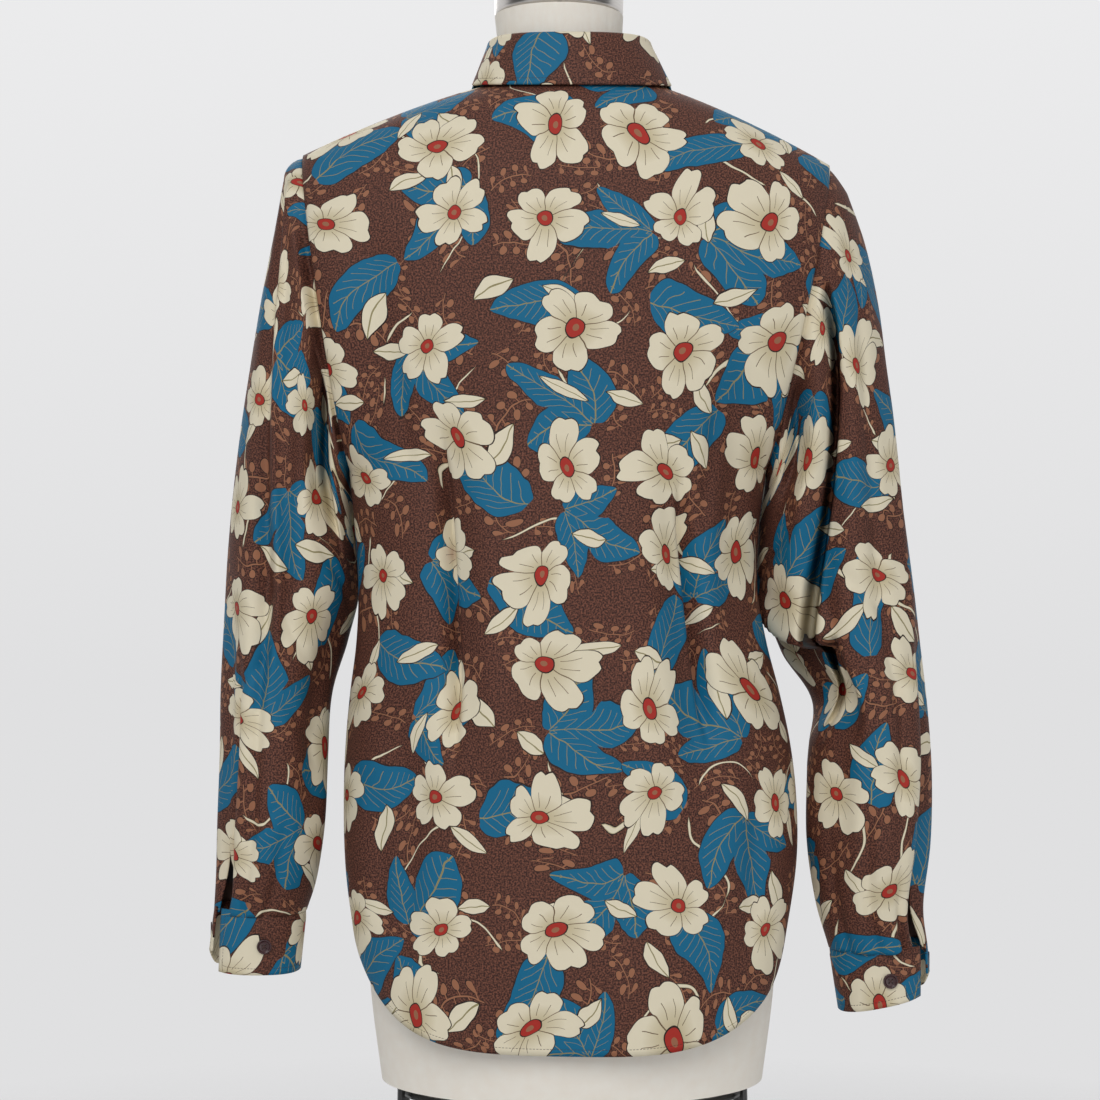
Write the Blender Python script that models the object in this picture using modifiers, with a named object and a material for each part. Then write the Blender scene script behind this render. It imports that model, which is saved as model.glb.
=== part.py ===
"""A long-sleeved blouse worn by a limbless dress form on its stand.

Metres, +Z up, front towards -Y, so the wearer's left is +X. The origin is on the floor under the pole.
Each cut piece of the blouse is its own wall of cloth, kept a seam gap from the pieces it is sewn to.
"""

import bisect
import math

import bmesh
import bpy
from mathutils import Vector
from mathutils.bvhtree import BVHTree

CLOTH = 0.0020              # wall of one panel
BAND_CLOTH = 0.0016         # wall of the stand, the fall, the cuffs and the button band
SEAM = 0.0003               # gap between pieces that are sewn together
PANEL_ROWS = (8, 7, 3)      # rows from hem to underarm, on to the shoulder tip, and on to the neck

# Blouse body
UNDERARM_Z = 0.860
SHOULDER_LEFT = (0.208, 1.104)       # x and z of the sleeve seam's top, wearer's left
SHOULDER_RIGHT = (-0.199, 1.096)
SHOULDER_BOW = 0.003                 # how far the shoulder seam rises above a straight line
UNDERARM_LEFT = 0.172
UNDERARM_RIGHT = -0.150
NECK_SIDE = (0.066, 1.158)           # where the shoulder seam meets the collar
ARMHOLE_HALF_DEPTH = 0.072           # half of the armhole, front to back
HEM_SIDE_Z = 0.533
HEM_DROP_BACK = 0.099                # how far the shirt tail hangs below the side seam
HEM_DROP_FRONT = 0.078
HEM_STRAIGHTENS_Z = 0.780            # rows above this height run level
ROW_SAG = 1.8                        # above 1, a row over the shoulder stays high before it falls to the centre
BACK_SQUARE = 0.88                   # below 1, a section is squarer than an ellipse
FRONT_SQUARE = 0.82
ARMHOLE_FLATTENING = math.radians(32)

# Sections of the body below the underarm: height, half widths and depths
BODY_COLUMNS = ("z", "left", "right", "back", "front")
BODY_ROWS = (
    (0.533, 0.1700, 0.1685, 0.118, 0.116),
    (0.570, 0.1750, 0.1740, 0.119, 0.118),
    (0.610, 0.1762, 0.1735, 0.118, 0.119),
    (0.650, 0.1750, 0.1690, 0.115, 0.120),
    (0.690, 0.1715, 0.1605, 0.111, 0.121),
    (0.730, 0.1665, 0.1500, 0.108, 0.122),
    (0.770, 0.1650, 0.1435, 0.106, 0.124),
    (0.820, 0.1680, 0.1450, 0.105, 0.126),
    (0.860, 0.1720, 0.1500, 0.104, 0.127),
)
# Centre lines above the underarm. Level 1 is the underarm, 2 the shoulder tip and 3 the neckline
CENTRE_COLUMNS = ("level", "back_y", "back_z", "front_y", "front_z")
CENTRE_ROWS = (
    (1.0, 0.104, 0.860, -0.127, 0.860),
    (1.5, 0.104, 0.985, -0.122, 0.955),
    (2.0, 0.094, 1.080, -0.108, 1.030),
    (2.5, 0.079, 1.125, -0.090, 1.065),
    (3.0, 0.061, 1.150, -0.072, 1.085),
)
# Folds of the body: place across and height at the top and the bottom end, depth (inward is positive) and width
FOLD_COLUMNS = ("x_top", "z_top", "x_low", "z_low", "depth", "width")
BACK_FOLDS = (
    (0.100, 0.930, 0.084, 0.640, 0.013, 0.017),
    (0.062, 0.900, 0.052, 0.600, -0.006, 0.022),
    (-0.070, 0.900, -0.102, 0.600, 0.013, 0.017),
    (-0.040, 0.880, -0.060, 0.560, -0.006, 0.022),
    (0.128, 0.700, 0.118, 0.470, 0.008, 0.018),
    (-0.128, 0.980, -0.122, 0.700, 0.009, 0.016),
    (0.150, 1.060, 0.146, 0.860, 0.006, 0.018),
    (0.005, 0.760, -0.004, 0.460, 0.004, 0.026),
)
FRONT_FOLDS = (
    (0.080, 0.900, 0.088, 0.520, 0.012, 0.018),
    (0.118, 0.860, 0.130, 0.560, -0.006, 0.020),
    (-0.075, 0.890, -0.090, 0.500, 0.012, 0.018),
    (-0.112, 0.840, -0.126, 0.560, -0.006, 0.020),
    (0.142, 1.020, 0.140, 0.840, 0.008, 0.016),
    (-0.138, 1.010, -0.132, 0.830, 0.008, 0.016),
)

# Sleeves: the outer and the inner end of each section, its half depth and how far back its middle lies
SLEEVE_COLUMNS = ("outer_x", "outer_z", "inner_x", "inner_z", "half_depth", "mid_y")
LEFT_SLEEVE_ROWS = (
    (0.2225, 1.0880, 0.1725, 0.8545, 0.0735, -0.003),
    (0.2300, 1.0480, 0.1722, 0.8480, 0.0750, -0.007),
    (0.2400, 1.0000, 0.1712, 0.8400, 0.0765, -0.011),
    (0.2490, 0.9500, 0.1700, 0.8280, 0.0765, -0.015),
    (0.2575, 0.8980, 0.1685, 0.8120, 0.0755, -0.018),
    (0.2642, 0.8460, 0.1672, 0.7900, 0.0735, -0.020),
    (0.2688, 0.7960, 0.1670, 0.7640, 0.0705, -0.020),
    (0.2715, 0.7450, 0.1750, 0.7300, 0.0665, -0.017),
    (0.2735, 0.6950, 0.1850, 0.6900, 0.0620, -0.012),
    (0.2735, 0.6420, 0.1862, 0.6420, 0.0580, -0.006),
    (0.2745, 0.5920, 0.1880, 0.5920, 0.0520, 0.000),
    (0.2755, 0.5530, 0.1950, 0.5530, 0.0440, 0.000),
    (0.2772, 0.5213, 0.2055, 0.5213, 0.0350, 0.000),
)
RIGHT_SLEEVE_ROWS = (
    (-0.2150, 1.0780, -0.1505, 0.8540, 0.0735, -0.003),
    (-0.2290, 1.0380, -0.1500, 0.8460, 0.0755, -0.007),
    (-0.2380, 0.9890, -0.1484, 0.8360, 0.0775, -0.011),
    (-0.2450, 0.9380, -0.1469, 0.8230, 0.0785, -0.015),
    (-0.2520, 0.8870, -0.1459, 0.8060, 0.0780, -0.018),
    (-0.2585, 0.8340, -0.1452, 0.7850, 0.0765, -0.020),
    (-0.2655, 0.7820, -0.1475, 0.7580, 0.0740, -0.020),
    (-0.2715, 0.7300, -0.1620, 0.7180, 0.0700, -0.017),
    (-0.2770, 0.6780, -0.1845, 0.6800, 0.0650, -0.012),
    (-0.2795, 0.6260, -0.1822, 0.6300, 0.0600, -0.006),
    (-0.2775, 0.5740, -0.1810, 0.5780, 0.0540, 0.000),
    (-0.2720, 0.5260, -0.1880, 0.5310, 0.0450, 0.000),
    (-0.2755, 0.4925, -0.1990, 0.4925, 0.0360, 0.000),
)
# Folds along a sleeve: angle from the outer edge towards the back at each end (degrees), the shares of the
# sleeve's length where it starts and ends, depth (inward is positive) and width (degrees)
SLEEVE_FOLD_COLUMNS = ("angle_top", "angle_low", "start", "end", "depth", "width")
LEFT_SLEEVE_FOLDS = (
    (112, 124, -0.05, 0.42, 0.020, 19),
    (74, 80, 0.08, 0.72, 0.009, 13),
    (34, 38, 0.52, 1.04, 0.014, 15),
    (150, 140, 0.50, 0.86, 0.007, 18),
    (250, 236, 0.00, 0.50, 0.016, 20),
    (292, 290, 0.25, 0.90, 0.009, 16),
    (198, 190, 0.62, 0.98, 0.006, 20),
)
RIGHT_SLEEVE_FOLDS = (
    (118, 136, -0.05, 0.34, 0.020, 17),
    (82, 92, 0.06, 0.60, 0.022, 13),
    (30, 36, 0.56, 1.04, 0.014, 15),
    (128, 124, 0.62, 0.92, 0.007, 18),
    (252, 240, 0.00, 0.52, 0.016, 20),
    (290, 296, 0.20, 0.88, 0.010, 16),
    (215, 205, 0.60, 0.96, 0.006, 20),
)
SLIT_ANGLE = math.radians(31)        # the cuff opening, outward and to the back
SLIT_STARTS = 0.88                   # share of the sleeve's length where the slit opens
SLIT_WIDTH_AT_CUFF = math.radians(26)

# Cuffs: height of top and bottom, centre and half width there
CUFF_COLUMNS = ("top_z", "low_z", "top_x", "low_x", "top_half", "low_half", "button_angle")
LEFT_CUFF = (0.5210, 0.4770, 0.2414, 0.2445, 0.0359, 0.0345, 104)
RIGHT_CUFF = (0.4922, 0.4530, -0.2373, -0.2405, 0.0383, 0.0345, 86)
CUFF_HALF_DEPTH = 0.0335
CUFF_FLARE = 0.005                   # how far the buttonhole end springs outward at its lower corner
CUFF_POINT = 0.014                   # how far that corner is cut up to a point

# Collar
STAND_HEIGHT = 0.030
STAND_TOP_HALF_WIDTH = 0.0592
STAND_TOP_SHIFT = 0.0020             # the form's neck leans to the wearer's left and takes the stand with it
STAND_TOP_BACK_Y = 0.0560
STAND_TOP_FRONT_Y = -0.0690
FALL_ROLL = 0.0032                   # how far the fold of the collar stands above and outside the stand
COLLAR_COLUMNS = 28
COLLAR_OPENING = 0.004               # half of the gap at centre front, as a share of the way round
# The fall's edge, from centre back to the collar point: place across the body's row, level and clearance
FALL_COLUMNS = ("turn", "across", "level", "clear")
FALL_ROWS = (
    (0.00, 0.00, 2.90, 0.0026),
    (0.25, 0.50, 2.90, 0.0026),
    (0.42, 0.80, 2.90, 0.0036),
    (0.50, 1.00, 2.91, 0.0062),
    (0.58, 1.20, 2.83, 0.0045),
    (0.70, 1.46, 2.62, 0.0026),
    (0.85, 1.66, 2.40, 0.0026),
    (1.00, 1.76, 2.06, 0.0026),
)

# Front closing
BAND_HALF_WIDTH = 0.015
BUTTON_RADIUS = 0.0056
BUTTON_THICKNESS = 0.0022
FRONT_BUTTON_LEVELS = (0.20, 0.46, 0.72, 0.98, 1.38, 1.82, 2.42)

# Dress form: height, half width, back and front depth, and the neck's drift from the middle
FORM_COLUMNS = ("z", "half", "back", "front", "mid_x", "mid_y")
FORM_ROWS = (
    (0.393, 0.1470, 0.0960, 0.0900, 0.0, 0.0),
    (0.460, 0.1555, 0.1030, 0.0950, 0.0, 0.0),
    (0.530, 0.1595, 0.1060, 0.0985, 0.0, 0.0),
    (0.600, 0.1560, 0.1050, 0.0990, 0.0, 0.0),
    (0.680, 0.1360, 0.0920, 0.0910, 0.0, 0.0),
    (0.760, 0.1130, 0.0790, 0.0850, 0.0, 0.0),
    (0.840, 0.1240, 0.0850, 0.1000, 0.0, 0.0),
    (0.920, 0.1370, 0.0910, 0.1120, 0.0, 0.0),
    (0.990, 0.1480, 0.0920, 0.1050, 0.0, 0.0),
    (1.040, 0.1590, 0.0880, 0.0930, 0.0, 0.0),
    (1.072, 0.1660, 0.0810, 0.0750, 0.0, 0.0),
    (1.090, 0.1640, 0.0750, 0.0660, 0.0, 0.0),
    (1.103, 0.1590, 0.0700, 0.0630, 0.0, 0.0),
    (1.115, 0.1480, 0.0650, 0.0610, 0.0, 0.0),
    (1.127, 0.1240, 0.0610, 0.0590, 0.0, 0.0),
    (1.138, 0.1000, 0.0570, 0.0570, 0.0010, -0.001),
    (1.147, 0.0790, 0.0530, 0.0560, 0.0025, -0.002),
    (1.156, 0.0640, 0.0490, 0.0545, 0.0045, -0.004),
    (1.168, 0.0550, 0.0480, 0.0525, 0.0065, -0.006),
    (1.190, 0.0510, 0.0500, 0.0500, 0.0090, -0.009),
    (1.215, 0.0500, 0.0500, 0.0500, 0.0100, -0.010),
)
CAP_TOP_Z = 1.262
CAP_RADIUS = 0.0502
HOOP_WIRE = 0.0030                   # radius of the cage's wire
UPPER_HOOP_Z = 0.3860
LOWER_HOOP_Z = 0.2050
LOWER_HOOP_FLARE = 1.03
ROD_COUNT = 8
FORM_STEP = 0.0004                   # the torso is drawn in by this much at a time where it meets the blouse
FORM_CLEAR = 0.0004                  # and by this much more once it is clear
POLE_RADIUS = 0.0140
BASE_RADIUS = 0.1900
BASE_EDGE = 0.0100
BASE_HUB_RADIUS = 0.0260
BASE_HUB_Z = 0.0480

COLOURS = {                          # colour, roughness and metallic value
    "print_cloth": ((0.17, 0.09, 0.07), 0.70, 0.0),
    "button": ((0.09, 0.03, 0.03), 0.25, 0.0),
    "form_linen": ((0.80, 0.75, 0.67), 0.85, 0.0),
    "neck_metal": ((0.42, 0.42, 0.43), 0.30, 1.0),
    "black_iron": ((0.02, 0.02, 0.02), 0.45, 0.0),
}


def column(rows, names, name):
    return [row[names.index(name)] for row in rows]


def smooth(places, values, place):
    """Value at a place on a smooth curve through the table's values."""
    i = min(max(bisect.bisect_right(places, place) - 1, 0), len(places) - 2)

    def slope(k):
        low, high = max(k - 1, 0), min(k + 1, len(places) - 1)
        return (values[high] - values[low]) / (places[high] - places[low])

    width = places[i + 1] - places[i]
    t = (place - places[i]) / width
    return (
        values[i] * (1 + 2 * t) * (1 - t) ** 2
        + values[i + 1] * t * t * (3 - 2 * t)
        + width * t * (1 - t) * (slope(i) * (1 - t) - slope(i + 1) * t)
    )


def from_table(rows, names, key, place, name):
    return smooth(column(rows, names, key), column(rows, names, name), place)


def ramp(start, end, value):
    """0 before start, 1 after end, and an even swing between."""
    t = min(max((value - start) / (end - start), 0.0), 1.0)
    return t * t * (3 - 2 * t)


def fold_share(z, top, low):
    """How much of a fold shows at a height: none past its ends and all over its middle."""
    reach = 0.3 * (top - low)
    return ramp(low, low + reach, z) * (1 - ramp(top - reach, top, z))


def body_folds(x, z, folds):
    depth = 0.0
    for x_top, z_top, x_low, z_low, deep, width in folds:
        line = x_low + (x_top - x_low) * (z - z_low) / (z_top - z_low)
        depth += deep * fold_share(z, z_top, z_low) * math.exp(-(((x - line) / width) ** 2))
    return depth


def armhole(level, side):
    """Edge of the armhole at a level from 1, the underarm, to 2, the shoulder tip. Its plane leans outward."""
    tip_x, tip_z = SHOULDER_LEFT if side > 0 else SHOULDER_RIGHT
    under_x = UNDERARM_LEFT if side > 0 else UNDERARM_RIGHT
    turn = math.pi * (level - 1)
    share = (1 - math.cos(turn)) / 2
    z = UNDERARM_Z + (tip_z - UNDERARM_Z) * share
    return Vector((under_x + (tip_x - under_x) * share, ARMHOLE_HALF_DEPTH * math.sin(turn), z))


def body_point(face, across, level, inward=0.0):
    """Point of the blouse's body. face is 1 for the back and -1 for the front, across runs from -1 at the
    wearer's right seam to 1 at the left, and level from 0 at the hem to 3 at the neck."""
    side = 1 if across >= 0 else -1
    share = abs(across)
    square = BACK_SQUARE if face > 0 else FRONT_SQUARE
    wrap = math.pi / 2
    seam_y = face * SEAM / 2
    if level <= 1:
        z = HEM_SIDE_Z + (UNDERARM_Z - HEM_SIDE_Z) * level
        half = from_table(BODY_ROWS, BODY_COLUMNS, "z", z, "left" if side > 0 else "right")
        edge = Vector((side * half, seam_y, z))
        depth = from_table(BODY_ROWS, BODY_COLUMNS, "z", z, "back" if face > 0 else "front")
        centre = Vector((0, face * depth, z))
        lift = 0.0
    else:
        if level <= 2:
            edge = armhole(level, side)
            edge.y = face * max(edge.y, SEAM / 2)
            wrap -= ARMHOLE_FLATTENING * math.sin(math.pi * (level - 1))
        else:
            tip_x, tip_z = SHOULDER_LEFT if side > 0 else SHOULDER_RIGHT
            climb = level - 2
            bow = SHOULDER_BOW * 4 * climb * (1 - climb)
            edge = Vector((tip_x + (side * NECK_SIDE[0] - tip_x) * climb, seam_y,
                           tip_z + (NECK_SIDE[1] - tip_z) * climb + bow))
        name = "back" if face > 0 else "front"
        centre = Vector((0, from_table(CENTRE_ROWS, CENTRE_COLUMNS, "level", level, name + "_y"),
                         from_table(CENTRE_ROWS, CENTRE_COLUMNS, "level", level, name + "_z")))
        lift = 12.0 * ramp(1.3, 2.2, level)
    angle = share * wrap
    along = (math.sin(angle) / math.sin(wrap)) ** square
    rise = max((math.cos(angle) - math.cos(wrap)) / (1 - math.cos(wrap)), 0.0) ** square
    point = Vector((edge.x * along, edge.y + (centre.y - edge.y) * rise,
                    edge.z + (centre.z - edge.z) * rise ** ROW_SAG))
    if level <= 1:
        drop = HEM_DROP_BACK if face > 0 else HEM_DROP_FRONT
        fade = 1 - ramp(HEM_SIDE_Z, HEM_STRAIGHTENS_Z, edge.z)
        point.z -= drop * (1 - along ** 4) ** 0.6 * fade
    out = Vector((point.x / edge.x ** 2, point.y / centre.y ** 2, lift)).normalized()
    calm = 1 - share ** 6
    folds = BACK_FOLDS if face > 0 else FRONT_FOLDS
    return point - out * (inward + calm * body_folds(point.x, point.z, folds))


def across_at(face, level, x):
    """The place across a row whose point lies at x, found by halving."""
    low, high = -0.6, 0.6
    for _ in range(40):
        middle = (low + high) / 2
        if body_point(face, middle, level).x < x:
            low = middle
        else:
            high = middle
    return (low + high) / 2


def section_point(outer, inner, half_depth, mid_y, angle, deep):
    """Point on an oval section between its outer and its inner end, deep inside its outline."""
    middle = (outer + inner) / 2
    half = (outer - inner) / 2
    width = max(half.length - deep, 0.001)
    depth = max(half_depth - deep, 0.001)
    point = middle + half.normalized() * (width * math.cos(angle))
    point.y += mid_y + depth * math.sin(angle)
    return point


def sleeve_folds(turn, share, folds):
    depth = 0.0
    degrees = math.degrees(turn) % 360
    for top, low, start, end, deep, width in folds:
        middle = top + (low - top) * min(max((share - start) / (end - start), 0.0), 1.0)
        away = (degrees - middle + 180) % 360 - 180
        shown = ramp(start, start + 0.18, share) * (1 - ramp(end - 0.18, end, share))
        depth += deep * shown * math.exp(-((away / width) ** 2))
    return depth


def slit_gap(share):
    return SLIT_WIDTH_AT_CUFF * ramp(SLIT_STARTS, 1.0, share) if share > SLIT_STARTS else 0.0


def sleeve_point(side, turn_share, share, inward=0.0):
    """Point of a sleeve. turn_share goes once round from the slit, and share from the armhole to the cuff."""
    rows = LEFT_SLEEVE_ROWS if side > 0 else RIGHT_SLEEVE_ROWS
    folds = LEFT_SLEEVE_FOLDS if side > 0 else RIGHT_SLEEVE_FOLDS
    gap = slit_gap(share)
    turn = SLIT_ANGLE + gap / 2 + turn_share * (2 * math.pi - gap)
    place = share * len(rows)
    at_seam = armhole_ring(side, turn, inward)
    if place <= 0:
        return at_seam
    steps = list(range(1, len(rows) + 1))

    def along_rows(name):
        return smooth(steps, column(rows, SLEEVE_COLUMNS, name), max(place, 1.0))

    outer = Vector((along_rows("outer_x"), 0, along_rows("outer_z")))
    inner = Vector((along_rows("inner_x"), 0, along_rows("inner_z")))
    deep = inward + sleeve_folds(turn, share, folds)
    hanging = section_point(outer, inner, along_rows("half_depth"), along_rows("mid_y"), turn, deep)
    return at_seam.lerp(hanging, min(place, 1.0))


def armhole_ring(side, turn, inward=0.0):
    """The armhole seen as a ring: angle 0 is the shoulder tip, and a quarter turn on is the back."""
    tip_x, tip_z = SHOULDER_LEFT if side > 0 else SHOULDER_RIGHT
    under_x = UNDERARM_LEFT if side > 0 else UNDERARM_RIGHT
    half = (tip_z - UNDERARM_Z) / 2
    z = (tip_z + UNDERARM_Z) / 2 + (half - inward) * math.cos(turn)
    x = under_x + (tip_x - under_x) * (z - UNDERARM_Z) / (tip_z - UNDERARM_Z)
    return Vector((x + side * SEAM, (ARMHOLE_HALF_DEPTH - inward) * math.sin(turn), z))


def cuff_point(side, turn_share, share, inward=0.0):
    """Point of a cuff, round from its button end and down from the sleeve."""
    cuff = LEFT_CUFF if side > 0 else RIGHT_CUFF
    top_z, low_z, top_x, low_x, top_half, low_half, _ = cuff
    gap = SLIT_WIDTH_AT_CUFF
    turn = SLIT_ANGLE + gap / 2 + turn_share * (2 * math.pi - gap)
    middle_x = top_x + (low_x - top_x) * share
    half = top_half + (low_half - top_half) * share - inward
    depth = CUFF_HALF_DEPTH - inward
    near_end = ramp(0.90, 1.0, turn_share)
    drop = (low_z - top_z + CUFF_POINT * near_end) * share
    return Vector((middle_x + side * (half * math.cos(turn) + CUFF_FLARE * share * near_end), depth * math.sin(turn),
                   top_z - SEAM + drop))


def collar_ring(turn):
    """Neckline point at a turn from centre back (0) through the wearer's left (a quarter) to centre front."""
    turn %= 1.0
    if turn <= 0.25:
        return body_point(1, turn * 4, 3)
    if turn < 0.75:
        return body_point(-1, 2 - turn * 4, 3)
    return body_point(1, turn * 4 - 4, 3)


def stand_top(turn, outward=0.0):
    """Top edge of the collar stand: level at the back and falling towards the front."""
    neck = collar_ring(turn)
    angle = 2 * math.pi * turn
    depth = STAND_TOP_BACK_Y if math.cos(angle) > 0 else -STAND_TOP_FRONT_Y
    x = (STAND_TOP_HALF_WIDTH + outward) * math.sin(angle) + STAND_TOP_SHIFT
    return Vector((x, (depth + outward) * math.cos(angle), neck.z + STAND_HEIGHT + 0.006 * (1 + math.cos(angle)) / 2))


def collar_turn(u):
    """Turn at a share of the collar's length, from one front end round to the other."""
    return (0.5 + COLLAR_OPENING + u * (1 - 2 * COLLAR_OPENING)) % 1.0


def stand_point(u, share, inward=0.0):
    turn = collar_turn(u)
    low = collar_ring(turn)
    top = stand_top(turn)
    point = low.lerp(top, share)
    out = Vector((point.x, point.y, 0)).normalized()
    point -= out * (inward + 0.0004)
    point.z += (CLOTH * 0.6 + SEAM) * (1 - share)
    return point


def fall_edge(turn, clear):
    """The fall's lower edge, made from the body's points moved out."""
    half_turn = min(turn, 1 - turn) * 2
    side = 1 if turn <= 0.5 else -1
    across = from_table(FALL_ROWS, FALL_COLUMNS, "turn", half_turn, "across")
    level = from_table(FALL_ROWS, FALL_COLUMNS, "turn", half_turn, "level")
    away = from_table(FALL_ROWS, FALL_COLUMNS, "turn", half_turn, "clear") + clear
    if across <= 1:
        return body_point(1, side * across, level, -away)
    return body_point(-1, side * (2 - across), level, -away)


def fall_point(u, share, inward=0.0):
    """Point of the collar's fall: over the roll first, then down to its edge."""
    turn = collar_turn(u)
    over = BAND_CLOTH - inward
    roll_top = stand_top(turn, FALL_ROLL * 0.5)
    roll_top.z += SEAM + over + 0.0004
    roll_out = stand_top(turn, FALL_ROLL + over)
    roll_out.z -= 0.0020
    inner = stand_top(turn, -0.0004)
    inner.z += SEAM + over
    edge = fall_edge(turn, over)
    if share < 0.12:
        return inner.lerp(roll_top, share / 0.12)
    if share < 0.25:
        return roll_top.lerp(roll_out, (share - 0.12) / 0.13)
    return roll_out.lerp(edge, (share - 0.25) / 0.75)


def material(name):
    colour, roughness, metallic = COLOURS[name]
    made = bpy.data.materials.new(name)
    made.use_nodes = True
    made.diffuse_color = (*colour, 1)
    shader = made.node_tree.nodes["Principled BSDF"]
    shader.inputs["Base Color"].default_value = (*colour, 1)
    shader.inputs["Roughness"].default_value = roughness
    shader.inputs["Metallic"].default_value = metallic
    return made


def add(name, mesh, surface):
    piece = bpy.data.objects.new(name, mesh)
    piece.data.materials.append(MATERIALS[surface])
    PARTS.objects.link(piece)
    return piece


def finished(bm, name, surface):
    bmesh.ops.recalc_face_normals(bm, faces=bm.faces)
    mesh = bpy.data.meshes.new(name)
    bm.to_mesh(mesh)
    bm.free()
    mesh.shade_smooth()
    mesh.set_sharp_from_angle(angle=math.radians(40))
    return add(name, mesh, surface)


def cloth_piece(name, point, columns, rows, wall):
    """A wall of cloth: a grid is bent to the outer face, its touching edges are sewn, and it is extruded inward."""
    bm = bmesh.new()
    place = bm.verts.layers.float_vector.new("place")
    bmesh.ops.create_grid(bm, x_segments=columns, y_segments=rows, size=0.5)
    for vert in bm.verts:
        vert[place] = Vector((vert.co.x + 0.5, vert.co.y + 0.5, 0))
        vert.co = point(vert[place].x, vert[place].y, 0.0)
    bmesh.ops.remove_doubles(bm, verts=bm.verts, dist=1e-6)
    inner = bmesh.ops.extrude_face_region(bm, geom=bm.faces[:], use_keep_orig=True)["geom"]
    for vert in (item for item in inner if isinstance(item, bmesh.types.BMVert)):
        vert.co = point(vert[place].x, vert[place].y, wall)
    return finished(bm, name, "print_cloth")


def row_level(v):
    """Level of a panel's row, so that a row ends exactly at the underarm and one at the shoulder tip."""
    row = v * sum(PANEL_ROWS)
    level = 0.0
    for count in PANEL_ROWS:
        level += min(max(row / count, 0.0), 1.0)
        row -= count
    return level


def back(u, v, inward):
    return body_point(1, 2 * u - 1, row_level(v), inward)


def front_left(u, v, inward):
    level = row_level(v)
    cut = across_at(-1, level, -BAND_HALF_WIDTH)
    return body_point(-1, cut + (1 - cut) * u, level, inward)


def front_right(u, v, inward):
    level = row_level(v)
    cut = across_at(-1, level, -BAND_HALF_WIDTH - SEAM)
    return body_point(-1, -1 + (cut + 1) * u, level, inward)


def front_band(u, v, inward):
    level = row_level(v)
    x = BAND_HALF_WIDTH * (2 * u - 1)
    return body_point(-1, across_at(-1, level, x), level, inward - BAND_CLOTH - SEAM)


def button(name, middle, out):
    """A flat round button: a cylinder with a softened edge, turned to face out."""
    bm = bmesh.new()
    bmesh.ops.create_cone(bm, cap_ends=True, segments=14, radius1=BUTTON_RADIUS, radius2=BUTTON_RADIUS * 0.94,
                          depth=BUTTON_THICKNESS)
    turn = Vector((0, 0, 1)).rotation_difference(out).to_matrix()
    for vert in bm.verts:
        vert.co = middle + turn @ vert.co + out * (BUTTON_THICKNESS / 2 + SEAM)
    return finished(bm, name, "button")


def make_blouse():
    cloth_piece("back", back, 26, sum(PANEL_ROWS), CLOTH)
    cloth_piece("front_left", front_left, 12, sum(PANEL_ROWS), CLOTH)
    cloth_piece("front_right", front_right, 12, sum(PANEL_ROWS), CLOTH)
    cloth_piece("front_band", front_band, 2, sum(PANEL_ROWS), BAND_CLOTH)
    for name, side in (("left", 1), ("right", -1)):
        cloth_piece("sleeve_" + name, lambda u, v, d, s=side: sleeve_point(s, u, v, d), 24, 16, CLOTH)
        cloth_piece("cuff_" + name, lambda u, v, d, s=side: cuff_point(s, u, v, d), 18, 2, BAND_CLOTH)
        angle = math.radians((LEFT_CUFF if side > 0 else RIGHT_CUFF)[-1])
        gap = SLIT_WIDTH_AT_CUFF
        place = (angle - SLIT_ANGLE - gap / 2) / (2 * math.pi - gap)
        middle = cuff_point(side, place, 0.5)
        out = Vector((side * math.cos(angle), math.sin(angle), 0))
        button("button_cuff_" + name, middle, out)
    cloth_piece("collar_stand", stand_point, COLLAR_COLUMNS, 1, BAND_CLOTH)
    cloth_piece("collar_fall", fall_point, COLLAR_COLUMNS, 5, BAND_CLOTH)
    for number, level in enumerate(FRONT_BUTTON_LEVELS, 1):
        centre = across_at(-1, level, 0.0)
        lift = BAND_CLOTH + SEAM
        middle = body_point(-1, centre, level, -lift)
        above = body_point(-1, centre, level + 0.02, -lift)
        up = (above - middle).normalized()
        out = Vector((1, 0, 0)).cross(up).normalized()
        button(f"button_front_{number}", middle, out)


def oval_point(row, angle, grow=0.0):
    z, half, back_depth, front_depth, mid_x, mid_y = row
    depth = back_depth if math.sin(angle) > 0 else front_depth
    return Vector((mid_x + (half + grow) * math.cos(angle), mid_y + (depth + grow) * math.sin(angle), z))


def make_form():
    """The torso is one closed solid lofted through its sections, a cylinder whose rings are moved to them."""
    bm = bmesh.new()
    segments = 28
    bmesh.ops.create_cone(bm, cap_ends=True, segments=segments, radius1=1, radius2=1, depth=1)
    low_cap = min(bm.faces, key=lambda face: face.calc_center_median().z)
    for vert in low_cap.verts:
        angle = math.atan2(vert.co.y, vert.co.x)
        vert.co = oval_point(FORM_ROWS[0], angle)
    edge = max(bm.faces, key=lambda face: face.calc_center_median().z)
    top_row = FORM_ROWS[1]
    for vert in edge.verts:
        vert.co = oval_point(top_row, math.atan2(vert.co.y, vert.co.x))
    for row in FORM_ROWS[2:]:
        before = {vert: math.atan2((vert.co.y - top_row[5]) / (top_row[2] if vert.co.y > top_row[5] else top_row[3]),
                                   (vert.co.x - top_row[4]) / top_row[1]) for vert in edge.verts}
        ring = [(angle, vert.co.copy()) for vert, angle in before.items()]
        grown = bmesh.ops.extrude_face_region(bm, geom=[edge])["geom"]
        bmesh.ops.delete(bm, geom=[edge], context="FACES_ONLY")
        edge = next(item for item in grown if isinstance(item, bmesh.types.BMFace))
        for vert in edge.verts:
            angle = min(ring, key=lambda pair: (pair[1] - vert.co).length)[0]
            vert.co = oval_point(row, angle)
        top_row = row
    keep_inside_blouse(bm)
    finished(bm, "form_torso", "form_linen")


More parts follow.
